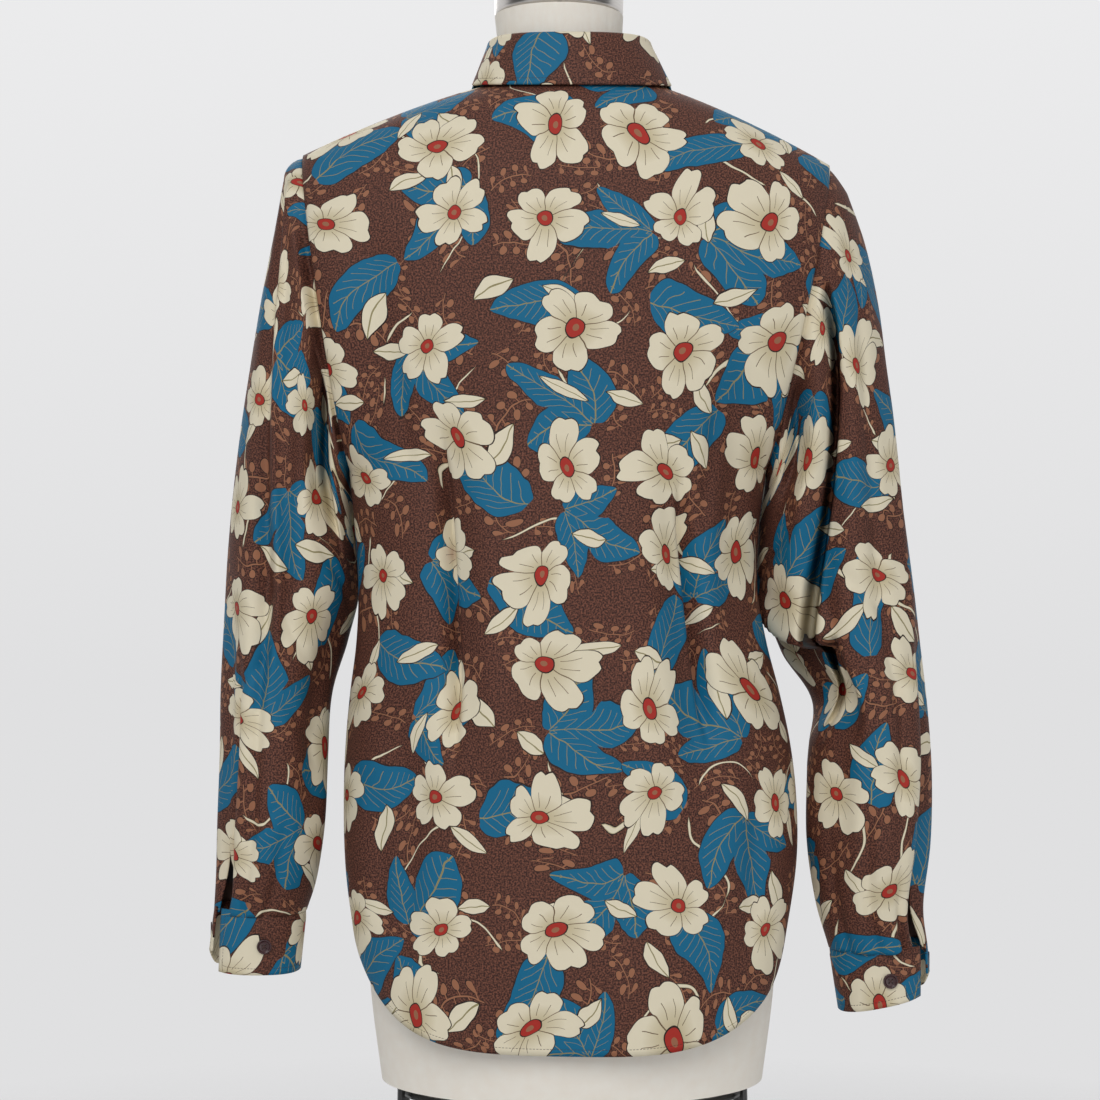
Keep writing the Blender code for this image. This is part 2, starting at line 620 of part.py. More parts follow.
def keep_inside_blouse(bm):
    """Draws the torso in, step by step, wherever it would meet the cloth that lies on it."""
    depsgraph = bpy.context.evaluated_depsgraph_get()
    cloth = [BVHTree.FromObject(PARTS.objects[name], depsgraph)
             for name in ("back", "front_left", "front_right", "front_band", "collar_stand", "collar_fall")]
    drawn = set()
    for _ in range(60):
        bm.faces.ensure_lookup_table()
        torso = BVHTree.FromBMesh(bm)
        meeting = {pair[0] for tree in cloth for pair in torso.overlap(tree)}
        if not meeting:
            break
        verts = {vert for number in meeting for vert in bm.faces[number].verts}
        draw_in(verts, FORM_STEP)
        drawn |= verts
    draw_in(drawn, FORM_CLEAR)


def draw_in(verts, step):
    for vert in verts:
        share = ramp(FORM_ROWS[-5][0], FORM_ROWS[-2][0], vert.co.z)
        middle = Vector((FORM_ROWS[-1][4] * share, FORM_ROWS[-1][5] * share, vert.co.z))
        out = (vert.co - middle).normalized()
        vert.co -= (out + Vector((0, 0, 0.6 * (1 - share)))) * step


def turned(name, profile, segments, surface, middle=(0.0, 0.0)):
    """A turned solid: a profile of radius and height, top to bottom, swept round by a Screw modifier."""
    mesh = bpy.data.meshes.new(name)
    mesh.from_pydata([(radius, 0, z) for radius, z in profile], [(i, i + 1) for i in range(len(profile) - 1)], [])
    piece = add(name, mesh, surface)
    piece.location = (*middle, 0)
    screw = piece.modifiers.new("turn", "SCREW")
    screw.steps = segments
    screw.render_steps = segments
    screw.use_merge_vertices = True
    screw.merge_threshold = 0.0001
    screw.use_smooth_shade = True
    return piece


def wire(name, points, radius, closed):
    """A round wire along a line of points."""
    curve = bpy.data.curves.new(name, "CURVE")
    curve.dimensions = "3D"
    curve.bevel_depth = radius
    curve.bevel_resolution = 1
    curve.use_fill_caps = not closed
    spline = curve.splines.new("POLY")
    spline.points.add(len(points) - 1)
    for slot, point in zip(spline.points, points):
        slot.co = (*point, 1)
    spline.use_cyclic_u = closed
    piece = bpy.data.objects.new(name, curve)
    curve.materials.append(MATERIALS["black_iron"])
    PARTS.objects.link(piece)


def make_stand():
    """The cage under the torso, the pole and the round foot."""
    foot = FORM_ROWS[0]
    inset = -HOOP_WIRE * 3 - 0.004
    hoops = (("hoop_upper", UPPER_HOOP_Z, 1.0), ("hoop_lower", LOWER_HOOP_Z, LOWER_HOOP_FLARE))
    for name, z, flare in hoops:
        ring = [oval_point(foot, 2 * math.pi * i / 28, inset) for i in range(28)]
        wire(name, [(p.x * flare, p.y * flare, z) for p in ring], HOOP_WIRE, True)
    outside = inset + HOOP_WIRE * 2 + 0.0006
    for number in range(ROD_COUNT):
        angle = 2 * math.pi * (number + 0.5) / ROD_COUNT
        top = oval_point(foot, angle, outside)
        low = top * LOWER_HOOP_FLARE
        ends = ((top.x, top.y, foot[0] - SEAM), (low.x, low.y, LOWER_HOOP_Z - 0.010))
        wire(f"rod_{number + 1}", ends, HOOP_WIRE, False)
    turned("pole", [(0, foot[0] - SEAM), (POLE_RADIUS, foot[0] - SEAM), (POLE_RADIUS, BASE_HUB_Z + SEAM),
                    (0, BASE_HUB_Z + SEAM)], 20, "black_iron")
    dome = [(BASE_HUB_RADIUS + (BASE_RADIUS - BASE_HUB_RADIUS) * t, BASE_EDGE + 0.014 * (1 - t) ** 1.5)
            for t in (0.04, 0.25, 0.5, 0.75, 0.98)]
    turned("base", [(0, BASE_HUB_Z), (BASE_HUB_RADIUS * 0.94, BASE_HUB_Z), (BASE_HUB_RADIUS, BASE_HUB_Z - 0.002),
                    *dome, (BASE_RADIUS, BASE_EDGE - 0.003), (BASE_RADIUS, 0.0), (0, 0.0)], 36, "black_iron")
    neck = FORM_ROWS[-1]
    low = neck[0] + SEAM
    turned("neck_cap", [(0, CAP_TOP_Z), (CAP_RADIUS * 0.75, CAP_TOP_Z - 0.001), (CAP_RADIUS * 0.95, CAP_TOP_Z - 0.004),
                        (CAP_RADIUS, CAP_TOP_Z - 0.009), (CAP_RADIUS, low), (0, low)], 28, "neck_metal",
           (neck[4], neck[5]))


for old in list(bpy.data.objects):
    bpy.data.objects.remove(old, do_unlink=True)
PARTS = bpy.data.collections.new("blouse_on_dress_form")
bpy.context.scene.collection.children.link(PARTS)
MATERIALS = {name: material(name) for name in COLOURS}
make_blouse()
make_form()
make_stand()
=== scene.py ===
import bisect
import math

import bpy
from mathutils import Matrix, Vector


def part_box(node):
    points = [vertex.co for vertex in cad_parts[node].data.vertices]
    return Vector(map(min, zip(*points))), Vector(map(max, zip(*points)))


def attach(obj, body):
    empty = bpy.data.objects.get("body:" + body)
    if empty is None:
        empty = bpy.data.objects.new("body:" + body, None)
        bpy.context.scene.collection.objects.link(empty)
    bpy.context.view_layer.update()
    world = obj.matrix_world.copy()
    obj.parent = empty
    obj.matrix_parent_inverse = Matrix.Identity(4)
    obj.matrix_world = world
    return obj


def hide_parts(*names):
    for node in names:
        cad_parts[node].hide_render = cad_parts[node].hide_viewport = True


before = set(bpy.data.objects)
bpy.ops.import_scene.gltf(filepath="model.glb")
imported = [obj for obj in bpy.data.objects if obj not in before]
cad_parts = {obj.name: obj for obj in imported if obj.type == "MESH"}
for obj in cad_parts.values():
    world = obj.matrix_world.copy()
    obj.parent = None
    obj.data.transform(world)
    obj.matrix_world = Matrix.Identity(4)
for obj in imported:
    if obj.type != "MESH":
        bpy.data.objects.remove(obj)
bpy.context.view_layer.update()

# The room: a pale floor that fades into a pale round wall, with wide soft lights behind the camera and in front of
# the blouse. The wall is no lamp but glows by itself, with painted light that is brighter towards its top. The camera
# looks at the back, level with the waist.
scene = bpy.context.scene
room = bpy.data.worlds.new("pale_room")
scene.world = room
room.use_nodes = True
sky = room.node_tree.nodes["Background"].inputs
sky["Color"].default_value = (1.0, 1.0, 1.0, 1)
sky["Strength"].default_value = 0.37
scene.view_settings.view_transform = "Standard"


def joined(operation, turned=False):
    """A method that puts a Math node after a term, with the term as its second value where turned."""
    if turned:
        return lambda self, other: self.sum(operation, other, self)
    return lambda self, *others: self.sum(operation, self, *others)


class Term:
    """A socket on its way through a material: a sum written on it adds a Math node."""

    def __init__(self, tree, socket):
        self.tree = tree
        self.socket = socket

    def node(self, kind, settings=None, values=None):
        made = self.tree.nodes.new("ShaderNode" + kind)
        for name, value in (settings or {}).items():
            setattr(made, name, value)
        for name, value in (values or {}).items():
            socket = made.inputs[name]
            if isinstance(value, Term):
                self.tree.links.new(value.socket, socket)
            elif socket.type == "RGBA" and len(value) == 3:
                socket.default_value = (*value, 1)
            else:
                socket.default_value = value
        return made

    def take(self, node, output=0):
        return Term(self.tree, node.outputs[output])

    def sum(self, operation, *values):
        return self.take(self.node("Math", {"operation": operation}, dict(enumerate(values))))

    def vector(self, operation, *values):
        return self.take(self.node("VectorMath", {"operation": operation}, dict(enumerate(values))))

    def parts(self):
        split = self.node("SeparateXYZ", {}, {0: self})
        return [self.take(split, axis) for axis in range(3)]

    def noise(self, scale, detail, flat=True, output=0):
        settings = {"noise_dimensions": "2D"} if flat else {}
        return self.take(self.node("TexNoise", settings, {"Vector": self, "Scale": scale, "Detail": detail}), output)

    __add__ = joined("ADD")
    __radd__ = joined("ADD", turned=True)
    __sub__ = joined("SUBTRACT")
    __rsub__ = joined("SUBTRACT", turned=True)
    __mul__ = joined("MULTIPLY")
    __truediv__ = joined("DIVIDE")
    __pow__ = joined("POWER")
    __lt__ = joined("LESS_THAN")
    __gt__ = joined("GREATER_THAN")
    __abs__ = joined("ABSOLUTE")

    sine = joined("SINE")
    floor = joined("FLOOR")
    fract = joined("FRACT")
    least = joined("MINIMUM")
    most = joined("MAXIMUM")

    def clamp(self):
        return self.most(0).least(1)

    def over(self, below, above):
        """The colour above where this mask is 1, and the colour below where it is 0."""
        return self.take(self.node("Mix", {"data_type": "RGBA"}, {0: self, 6: below, 7: above}), 2)

    def feed(self, shader, name):
        self.tree.links.new(self.socket, shader.inputs[name])


def ink(red, green, blue):
    """A colour as read off a screen, 0 to 255, in the linear values that a material takes."""
    return tuple(v / 3294.6 if v <= 10 else ((v / 255 + 0.055) / 1.055) ** 2.4 for v in (red, green, blue))


def new_material(name, uv_map=None, plain=None):
    """A material, its shader and the place that its pattern reads: on the piece, or on one of its maps."""
    made = bpy.data.materials.new(name)
    made.use_nodes = True
    shader = made.node_tree.nodes["Principled BSDF"]
    for setting, value in (plain or {}).items():
        shader.inputs[setting].default_value = value
    place = made.node_tree.nodes.new("ShaderNodeUVMap" if uv_map else "ShaderNodeTexCoord")
    if uv_map:
        place.uv_map = uv_map
    place = place.outputs["UV" if uv_map else "Object"]
    return made, shader, Term(made.node_tree, place)


WALL_RADIUS = 9.0
bpy.ops.mesh.primitive_uv_sphere_add(segments=64, ring_count=32, radius=WALL_RADIUS)
wall = bpy.context.object
wall.name = "wall"
bpy.ops.object.shade_smooth()
paint, shader, place = new_material("glowing_wall_painted_light", plain={"Emission Strength": 1.0, "Base Color": (0, 0, 0, 1),
                                                        "Specular IOR Level": 0.0})
# Painted light: the wall's glow is painted brighter towards the top, like a wall lit from above.
((place.parts()[2] * 0.28) - 0.05).clamp().over(ink(224, 224, 225), ink(237, 237, 238)).feed(shader, "Emission Color")
wall.data.materials.append(paint)
wall.visible_diffuse = wall.visible_transmission = wall.visible_shadow = False

bpy.ops.mesh.primitive_plane_add(size=8)
floor = bpy.context.object
floor.name = "floor"
paint, shader, place = new_material("pale_floor", plain={"Base Color": (*ink(226, 226, 227), 1), "Roughness": 0.9})
away = place.take(place.node("VectorMath", {"operation": "LENGTH"}, {0: place}), 1)
(1.0 - ((away - 0.9) / 0.9).clamp()).feed(shader, "Alpha")
floor.data.materials.append(paint)

# Two dark cloths at the sides are only there to be mirrored in the steel neck cap and the buttons.
for side in (1, -1):
    bpy.ops.mesh.primitive_plane_add(size=3.2, location=(3.0 * side, 1.0, 1.3), rotation=(0, math.radians(90), 0))
    flag = bpy.context.object
    flag.name = "flag_left" if side > 0 else "flag_right"
    dark = {"Base Color": (0.03, 0.03, 0.03, 1), "Roughness": 1.0}
    flag.data.materials.append(new_material(flag.name + "_cloth", plain=dark)[0])
    flag.visible_camera = flag.visible_diffuse = flag.visible_transmission = flag.visible_shadow = False

for name, place, power, size in (("key", (0.6, 3.0, 2.7), 49, 1.9), ("fill", (-1.7, 2.4, 0.5), 7, 1.6),
                                 ("front", (0.5, -2.9, 2.3), 40, 2.4)):
    light = bpy.data.objects.new(name + "_light", bpy.data.lights.new(name + "_light", "AREA"))
    light.data.energy = power
    light.data.size = size
    light.location = place
    light.rotation_euler = (Vector((0, 0, 0.85)) - Vector(place)).to_track_quat("-Z", "Y").to_euler()
    light.visible_camera = False
    scene.collection.objects.link(light)

camera = bpy.data.objects.new("camera", bpy.data.cameras.new("camera"))
CAMERA_AWAY = 1.7
FIELD_AT_FORM = 0.8525
camera.location = (0.017, CAMERA_AWAY, 0.8)
camera.rotation_euler = (math.radians(90), 0, math.radians(180))
camera.data.sensor_width = 36
camera.data.lens = 36 * CAMERA_AWAY / FIELD_AT_FORM
scene.collection.objects.link(camera)
scene.camera = camera


# The printed cloth: a smooth light crepe. The print is a plain scattered one of round blossoms, berries, tendrils and
# smooth leaves over a flecked brown ground, each motif drawn once and turned its own way in an uneven lattice.
def motif_place(cloth, cell, unevenness, shift):
    """Place on the nearest motif in millimetres, along and across it, and a number that is its own."""
    moved = cloth.vector("ADD", cloth, (*shift, 0))
    cells = cloth.node("TexVoronoi", {"voronoi_dimensions": "2D"},
                       {"Vector": moved, "Scale": 1 / cell, "Randomness": unevenness})
    off = cloth.vector("SUBTRACT", moved, cloth.take(cells, "Position"))
    luck = cloth.node("SeparateColor", {}, {0: cloth.take(cells, "Color")})
    turned = cloth.node("VectorRotate", {"rotation_type": "Z_AXIS"},
                        {"Vector": off, "Angle": cloth.take(luck, 0) * math.tau})
    x, y, _ = cloth.take(turned).parts()
    return x, y, cloth.take(luck, 1)


def hand_drawn(cloth, size, reach):
    """The place shifted by a soft noise, so that no line is ruled and no motif is quite like the next."""
    drift = cloth.noise(1 / size, 0, output="Color")
    centred = cloth.vector("MULTIPLY_ADD", drift, (2 * reach, 2 * reach, 0), (-reach, -reach, 0))
    return cloth.vector("ADD", cloth, centred)


GROUND = ink(94, 57, 45)
GROUND_DARK = ink(58, 34, 29)
GROUND_LIGHT = ink(124, 76, 60)
OUTLINE = ink(48, 34, 30)
TAN = ink(158, 106, 78)
TEAL = ink(6, 105, 144)
OLIVE = ink(150, 140, 98)
CREAM = ink(234, 224, 198)
CREAM_DEEP = ink(204, 190, 154)
VEIN = ink(112, 90, 66)
RED = ink(174, 46, 36)


def ground(cloth):
    squiggle = cloth.noise(0.75, 1.5)
    colour = (squiggle > 0.56).over(GROUND, GROUND_DARK)
    return (squiggle < 0.4).over(colour, GROUND_LIGHT)


def berry_sprigs(cloth, colour, cell, shift):
    """Tan berries in pairs on a bent stalk."""
    x, y, own = motif_place(cloth, cell, 0.7, shift)
    y = y - x * x * 0.018
    wide = abs(y)
    step = abs(((x + (y > 0) * 4.8) / 9.6).fract() - 0.5) * 9.6
    off = wide - 5.4
    berry = (step * step + off * off) ** 0.5 - own * 0.5
    there = abs(x) < 15
    twigs = ((step < 0.35) * (wide < 4)).least(there)
    stalk = (wide < 0.45) * (abs(x) < 17)
    colour = (berry < 2.9).least(there).most((wide < 0.8) * (abs(x) < 17.5)).over(colour, OUTLINE)
    return (berry < 2.4).least(there).most(twigs).most(stalk).over(colour, TAN)


def vines(cloth, colour):
    """Long cream tendrils that swell and taper."""
    off = abs(cloth.noise(0.0105, 0) - 0.5)
    half = ((cloth.noise(0.021, 0) - 0.5) * 0.11).least(0.0062)
    colour = (off < half + 0.0024).least(half > -0.0012).over(colour, OUTLINE)
    colour = (off < half).over(colour, CREAM_DEEP)
    return (off < half - 0.0018).over(colour, CREAM)


def smooth_leaves(cloth, colour, cell, shift, fingers):
    """Broad smooth-edged leaves spread from one point, with straight ribs and a plain margin."""
    x, y, _ = motif_place(cloth, cell, 0.36, shift)
    x = x + 27
    reach = (x * x + y * y) ** 0.5
    angle = y.sum("ARCTAN2", y, x)
    number = (angle / 0.8 + 0.5).floor().most(-fingers).least(fingers)
    bend = angle - number * 0.8
    along = reach * bend.sum("COSINE", bend)
    off = abs(reach * bend.sine())
    length = 69 - abs(number) * 15
    t = (along / length).clamp()
    half = (t * (1 - t)) ** 0.62 * length * 0.7 * (1.12 - t * 0.5)
    rib = abs(((along - off * 1.1) / 7.5).fract() - 0.5) * 7.5
    inside = (along > 1.5) * (along < length)
    lines = (off < 0.42).most((rib < 0.26) * (off < half - 3.5))
    colour = (off < half + 0.7).least(inside).over(colour, OUTLINE)
    return (off < half).least(inside).over(colour, lines.over(TEAL, OLIVE))


def slim_leaves(cloth, colour, cell, shift):
    """Small plain cream leaves with one midrib."""
    x, y, _ = motif_place(cloth, cell, 0.7, shift)
    wide = abs(y)
    half = 6.0 - x * x * 0.024
    colour = (wide < half + 0.75).over(colour, OUTLINE)
    return (wide < half).over(colour, (wide < 0.4).over(CREAM, OLIVE))


def blossoms(cloth, colour):
    """Round open flowers of five notched petals with a red eye."""
    x, y, own = motif_place(cloth, 84, 0.4, (0, 0))
    reach = (x * x + y * y) ** 0.5
    petal = abs((y.sum("ARCTAN2", y, x) * (5 / math.tau) + own).fract() - 0.5) * 2
    rim = 29 - petal ** 3 * 12 - (0.25 - petal).most(0) * 9
    joint = ((1 - petal) * reach * 0.63) < 0.3
    pleat = (abs(petal - 0.38) * reach * 0.63 < 0.18) * (reach > 9) * (reach < 19)
    petals = ((reach - 6) / 12).clamp().over(CREAM_DEEP, CREAM)
    petals = joint.most(pleat).over(petals, VEIN)
    petals = (reach < 5.6).over((reach < 6.3).over(petals, OUTLINE), RED)
    petals = (reach < 2.2).over(petals, TAN)
    return (reach < rim).over((reach < rim + 0.8).over(colour, OUTLINE), petals)


def print_colour(cloth):
    drawn = hand_drawn(hand_drawn(cloth, 58, 13), 9, 0.9)
    colour = ground(cloth)
    colour = berry_sprigs(drawn, colour, 38, (7, 3))
    colour = vines(drawn, colour)
    colour = smooth_leaves(drawn, colour, 119, (31, 12), 1)
    colour = smooth_leaves(drawn, colour, 122, (-20, 77), 0)
    colour = slim_leaves(drawn, colour, 64, (11, 40))
    return blossoms(drawn, colour)


def printed_cloth():
    """The right side of the cloth, with a row of stitches 5 mm in from each sewn edge."""
    made, shader, uv = new_material("print_crepe", "cloth", {"Specular IOR Level": 0.18})
    cloth = uv.take(uv.node("VectorMath", {"operation": "SCALE"}, {0: uv, "Scale": 1000.0}))
    inset, along, _ = uv.take(uv.node("UVMap", {"uv_map": "edge"})).parts()
    inset = inset * 1000
    stitch = (abs(inset - 5.0) < 0.26) * ((along * 400).fract() < 0.66) * 0.7
    stitch.over(print_colour(cloth), ink(64, 42, 36)).feed(shader, "Base Color")
    crepe = cloth.noise(1.6, 2)
    ridge = abs(inset - 5.0).least(1.2) * 0.6
    bump = cloth.node("Bump", {}, {"Strength": 0.22, "Distance": 0.0004, "Height": crepe * 0.5 + ridge})
    cloth.take(bump).feed(shader, "Normal")
    (0.58 + crepe * 0.14).feed(shader, "Roughness")
    return made


def cloth_reverse():
    """The wrong side: the ground, with the print only faintly through it."""
    made, shader, place = new_material("print_crepe_reverse", plain={"Roughness": 0.8})
    patches = ((place.noise(26, 1, flat=False) - 0.5) * 6).clamp()
    patches.over(ink(90, 64, 55), ink(66, 88, 98)).feed(shader, "Base Color")
    return made


PRINT = printed_cloth()
REVERSE = cloth_reverse()
CLOTH_WALL = 0.0011
DOUBLED_WALL = 0.0014

# How each piece of cloth is laid out: a grid is bent by its own surface, its length along the cloth becomes the
# print's map, and the sheet then gets its thickness.
WELD_WITHIN = 0.00001
SHARP_ABOVE = math.radians(40)


def bent_grid(name, surface, columns, rows):
    """A grid bent by a surface, which gives a point for each share across and up, and its vertices' shares."""
    bpy.ops.mesh.primitive_grid_add(x_subdivisions=columns, y_subdivisions=rows, size=1)
    piece = bpy.context.object
    piece.name = piece.data.name = name
    shares = [(vert.co.x + 0.5, vert.co.y + 0.5) for vert in piece.data.vertices]
    for vert, (u, v) in zip(piece.data.vertices, shares):
        vert.co = surface(u, v)
    return piece, shares


def weld(piece):
    bpy.context.view_layer.objects.active = piece
    bpy.ops.object.mode_set(mode="EDIT")
    bpy.ops.mesh.select_all(action="SELECT")
    bpy.ops.mesh.remove_doubles(threshold=WELD_WITHIN)
    bpy.ops.object.mode_set(mode="OBJECT")


def modify(piece, kind, **settings):
    """Add a modifier and apply it at once."""
    made = piece.modifiers.new(kind.lower(), kind)
    for name, value in settings.items():
        setattr(made, name, value)
    bpy.context.view_layer.objects.active = piece
    bpy.ops.object.modifier_apply(modifier=made.name)


def bent_sheet(name, surface, columns, rows, inside, print_from=(0.5, 0.5), print_shift=(0.0, 0.0), stitched=(),
               seam_at=None, doubled=False, unfolded=None, faces=0):
    """stitched names the sides with a row of stitches. A tube's print runs on over its opening and breaks at
    seam_at, the share across where its seam lies. Where unfolded is given, the print is laid out on that surface.
    Where faces is given, 1 for the back of the body and -1 for its front, the print's grain hangs upright."""
    piece, places = bent_grid(name, surface, columns, rows)
    mesh = piece.data
    number = {(round(u * columns), round(v * rows)): k for k, (u, v) in enumerate(places)}
    points = [Vector((unfolded or surface)(u, v)) for u, v in places]

    def runs(line, start):
        """Length along a line of points, from its start, to its end, and from where the print is laid."""
        total, run = 0.0, [0.0]
        for a, b in zip(line, line[1:]):
            total += (points[a] - points[b]).length
            run.append(total)
        laid = run[round(start * (len(line) - 1))]
        return {k: (r, total - r, r - laid) for k, r in zip(line, run)}

    def stride(a, b):
        """A step on the cloth as its way across the grain and its way up along it."""
        step = points[b] - points[a]
        normal = (mesh.vertices[a].normal + mesh.vertices[b].normal).normalized()
        level_way = Vector((0, -faces * abs(normal.z), 1)).cross(normal).normalized()
        return Vector((step.dot(level_way), step.dot(normal.cross(level_way))))

    hung = {}
    if faces:
        first = round(print_from[0] * columns)
        foot = Vector((0, 0))
        for j in range(rows + 1):
            if j:
                foot = foot + stride(number[first, j - 1], number[first, j])
            for way in (1, -1):
                hung[number[first, j]] = place = foot
                for i in range(first, columns if way > 0 else 0, way):
                    place = place + stride(number[i, j], number[i + way, j])
                    hung[number[i + way, j]] = place
    across, up = {}, {}
    for j in range(rows + 1):
        across.update(runs([number[i, j] for i in range(columns + 1)], print_from[0]))
    for i in range(columns + 1):
        up.update(runs([number[i, j] for j in range(rows + 1)], print_from[1]))
    mesh.uv_layers.remove(mesh.uv_layers[0])
    cloth_map = mesh.uv_layers.new(name="cloth")
    edge_map = mesh.uv_layers.new(name="edge")
    for face in mesh.polygons:
        past_seam = seam_at is not None and sum(places[k][0] for k in face.vertices) / 4 > seam_at
        for loop, k in zip(face.loop_indices, face.vertices):
            wrap = across[k][0] + across[k][1] if past_seam else 0.0
            laid = hung.get(k, (across[k][2] - wrap, up[k][2]))
            cloth_map.data[loop].uv = (laid[0] + print_shift[0], laid[1] + print_shift[1])
            sides = {"first": (across[k][0], up[k][0]), "last": (across[k][1], up[k][0]),
                     "low": (up[k][0], across[k][0]), "top": (up[k][1], across[k][0])}
            edge_map.data[loop].uv = min([sides[side] for side in stitched] + [(1.0, 0.0)])
    weld(piece)
    facing = sum(face.area * face.normal.dot(face.center - Vector((*inside, face.center.z))) for face in mesh.polygons)
    if facing < 0:
        mesh.flip_normals()
    mesh.materials.append(PRINT)
    mesh.materials.append(PRINT if doubled else REVERSE)
    modify(piece, "SOLIDIFY", thickness=DOUBLED_WALL if doubled else CLOTH_WALL, offset=-1, material_offset=1)
    bpy.ops.object.shade_smooth()
    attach(piece, "root")
    return piece


# The back: one piece from shoulder to shirt-tail hem, pressed smooth over the shoulders and hanging in long soft
# folds below them. The two fronts share its side seams, so the body's sizes are here.
CLOTH = 0.002
BAND_CLOTH = 0.0016
SEAM = 0.0003
UNDERARM_Z = 0.86
# A side is 1 for the wearer's left and -1 for the right.
SHOULDER = {1: (0.208, 1.104), -1: (-0.199, 1.096)}
SHOULDER_BOW = 0.003
UNDERARM = {1: 0.172, -1: -0.15}
NECK_SIDE = (0.066, 1.158)
ARMHOLE_HALF_DEPTH = 0.072
HEM_SIDE_Z = 0.533
HEM_DROP_BACK = 0.099
HEM_DROP_FRONT = 0.078
HEM_STRAIGHTENS_Z = 0.78
ROW_SAG = 1.8
BACK_SQUARE = 0.88
FRONT_SQUARE = 0.82
ARMHOLE_FLATTENING = math.radians(32)
HALF_WIDTH = 0.17
SHOULDER_LENGTH = 0.1


def in_metres(*rows):
    """A table's rows, written in millimetres."""
    return [tuple(value / 1000 for value in row) for row in rows]


BODY_COLUMNS = ("z", "left", "right", "back", "front")
BODY_ROWS = in_metres(
    (533, 170, 168.5, 118, 116), (570, 175, 174, 119, 118), (610, 176.2, 173.5, 118, 119),
    (650, 175, 169, 115, 120), (690, 171.5, 160.5, 111, 121), (730, 166.5, 150, 108, 122),
    (770, 165, 143.5, 106, 124), (820, 168, 145, 105, 126), (860, 172, 150, 104, 127),
)
CENTRE_COLUMNS = ("level", "back_y", "back_z", "front_y", "front_z")
CENTRE_ROWS = (
    (1, 0.104, 0.86, -0.127, 0.86), (1.5, 0.104, 0.985, -0.122, 0.955), (2, 0.094, 1.08, -0.108, 1.03),
    (2.5, 0.079, 1.125, -0.09, 1.065), (3, 0.061, 1.15, -0.072, 1.085),
)
# Folds: place across and height at each end, depth (inward is positive) and width
BACK_FOLDS = in_metres(
    (100, 930, 84, 640, 9, 17), (102, 905, 86, 630, 15, 4.4), (62, 900, 52, 600, -6, 22),
    (-70, 900, -102, 600, 9, 17), (-80, 870, -106, 640, 15, 4.4), (-40, 880, -60, 560, -6, 22),
    (128, 700, 118, 470, 8, 18), (-128, 980, -122, 700, 9, 16), (150, 1060, 146, 860, 6, 18),
    (-188, 1085, -189, 1000, 4.5, 6), (5, 760, -4, 460, 4, 26), (134, 960, 121, 840, 4, 8),
    (-112, 930, -96, 800, 4, 8), (30, 720, 36, 520, 3, 12), (-33, 650, -41, 480, 3, 12),
    (148, 640, 140, 500, 3.5, 8), (-140, 640, -132, 500, 3.5, 9), (108, 600, 116, 480, -3, 12),
    (-116, 640, -108, 500, -3, 12),
)
FRONT_FOLDS = in_metres(
    (80, 900, 88, 520, 12, 18), (118, 860, 130, 560, -6, 20), (-75, 890, -90, 500, 12, 18),
    (-112, 840, -126, 560, -6, 20), (142, 1020, 140, 840, 8, 16), (-138, 1010, -132, 830, 8, 16),
    (56, 980, 50, 780, 3, 10), (-50, 960, -58, 740, 3, 10), (100, 720, 104, 540, 3, 7),
    (-104, 700, -100, 530, 3, 7),
)


def column(rows, names, name):
    return [row[names.index(name)] for row in rows]


def smooth(places, values, place):
    """Value at a place on a smooth curve through the table's values."""
    i = min(max(bisect.bisect_right(places, place) - 1, 0), len(places) - 2)

    def slope(k):
        low, high = max(k - 1, 0), min(k + 1, len(places) - 1)
        return (values[high] - values[low]) / (places[high] - places[low])

    width = places[i + 1] - places[i]
    t = (place - places[i]) / width
    return (
        values[i] * (1 + 2 * t) * (1 - t) ** 2
        + values[i + 1] * t * t * (3 - 2 * t)
        + width * t * (1 - t) * (slope(i) * (1 - t) - slope(i + 1) * t)
    )


def from_table(rows, names, place, name):
    """Value of a named column at a place in the first one."""
    return smooth(column(rows, names, names[0]), column(rows, names, name), place)


def ramp(start, end, value):
    """0 before start, 1 after end, and an even swing between."""
    t = min(max((value - start) / (end - start), 0.0), 1.0)
    return t * t * (3 - 2 * t)


def body_folds(x, z, folds):
    depth = 0.0
    for x_top, z_top, x_low, z_low, deep, width in folds:
        reach = 0.3 * (z_top - z_low)
        shown = ramp(z_low, z_low + reach, z) * (1 - ramp(z_top - reach, z_top, z))
        if shown:
            line = x_low + (x_top - x_low) * (z - z_low) / (z_top - z_low)
            depth += deep * shown * math.exp(-(((x - line) / width) ** 2))
    return depth


def armhole(level, side):
    """Edge of the armhole at a level from 1, the underarm, to 2, the shoulder tip."""
    tip_x, tip_z = SHOULDER[side]
    under_x = UNDERARM[side]
    turn = math.pi * (level - 1)
    share = (1 - math.cos(turn)) / 2
    z = UNDERARM_Z + (tip_z - UNDERARM_Z) * share
    return Vector((under_x + (tip_x - under_x) * share, ARMHOLE_HALF_DEPTH * math.sin(turn), z))


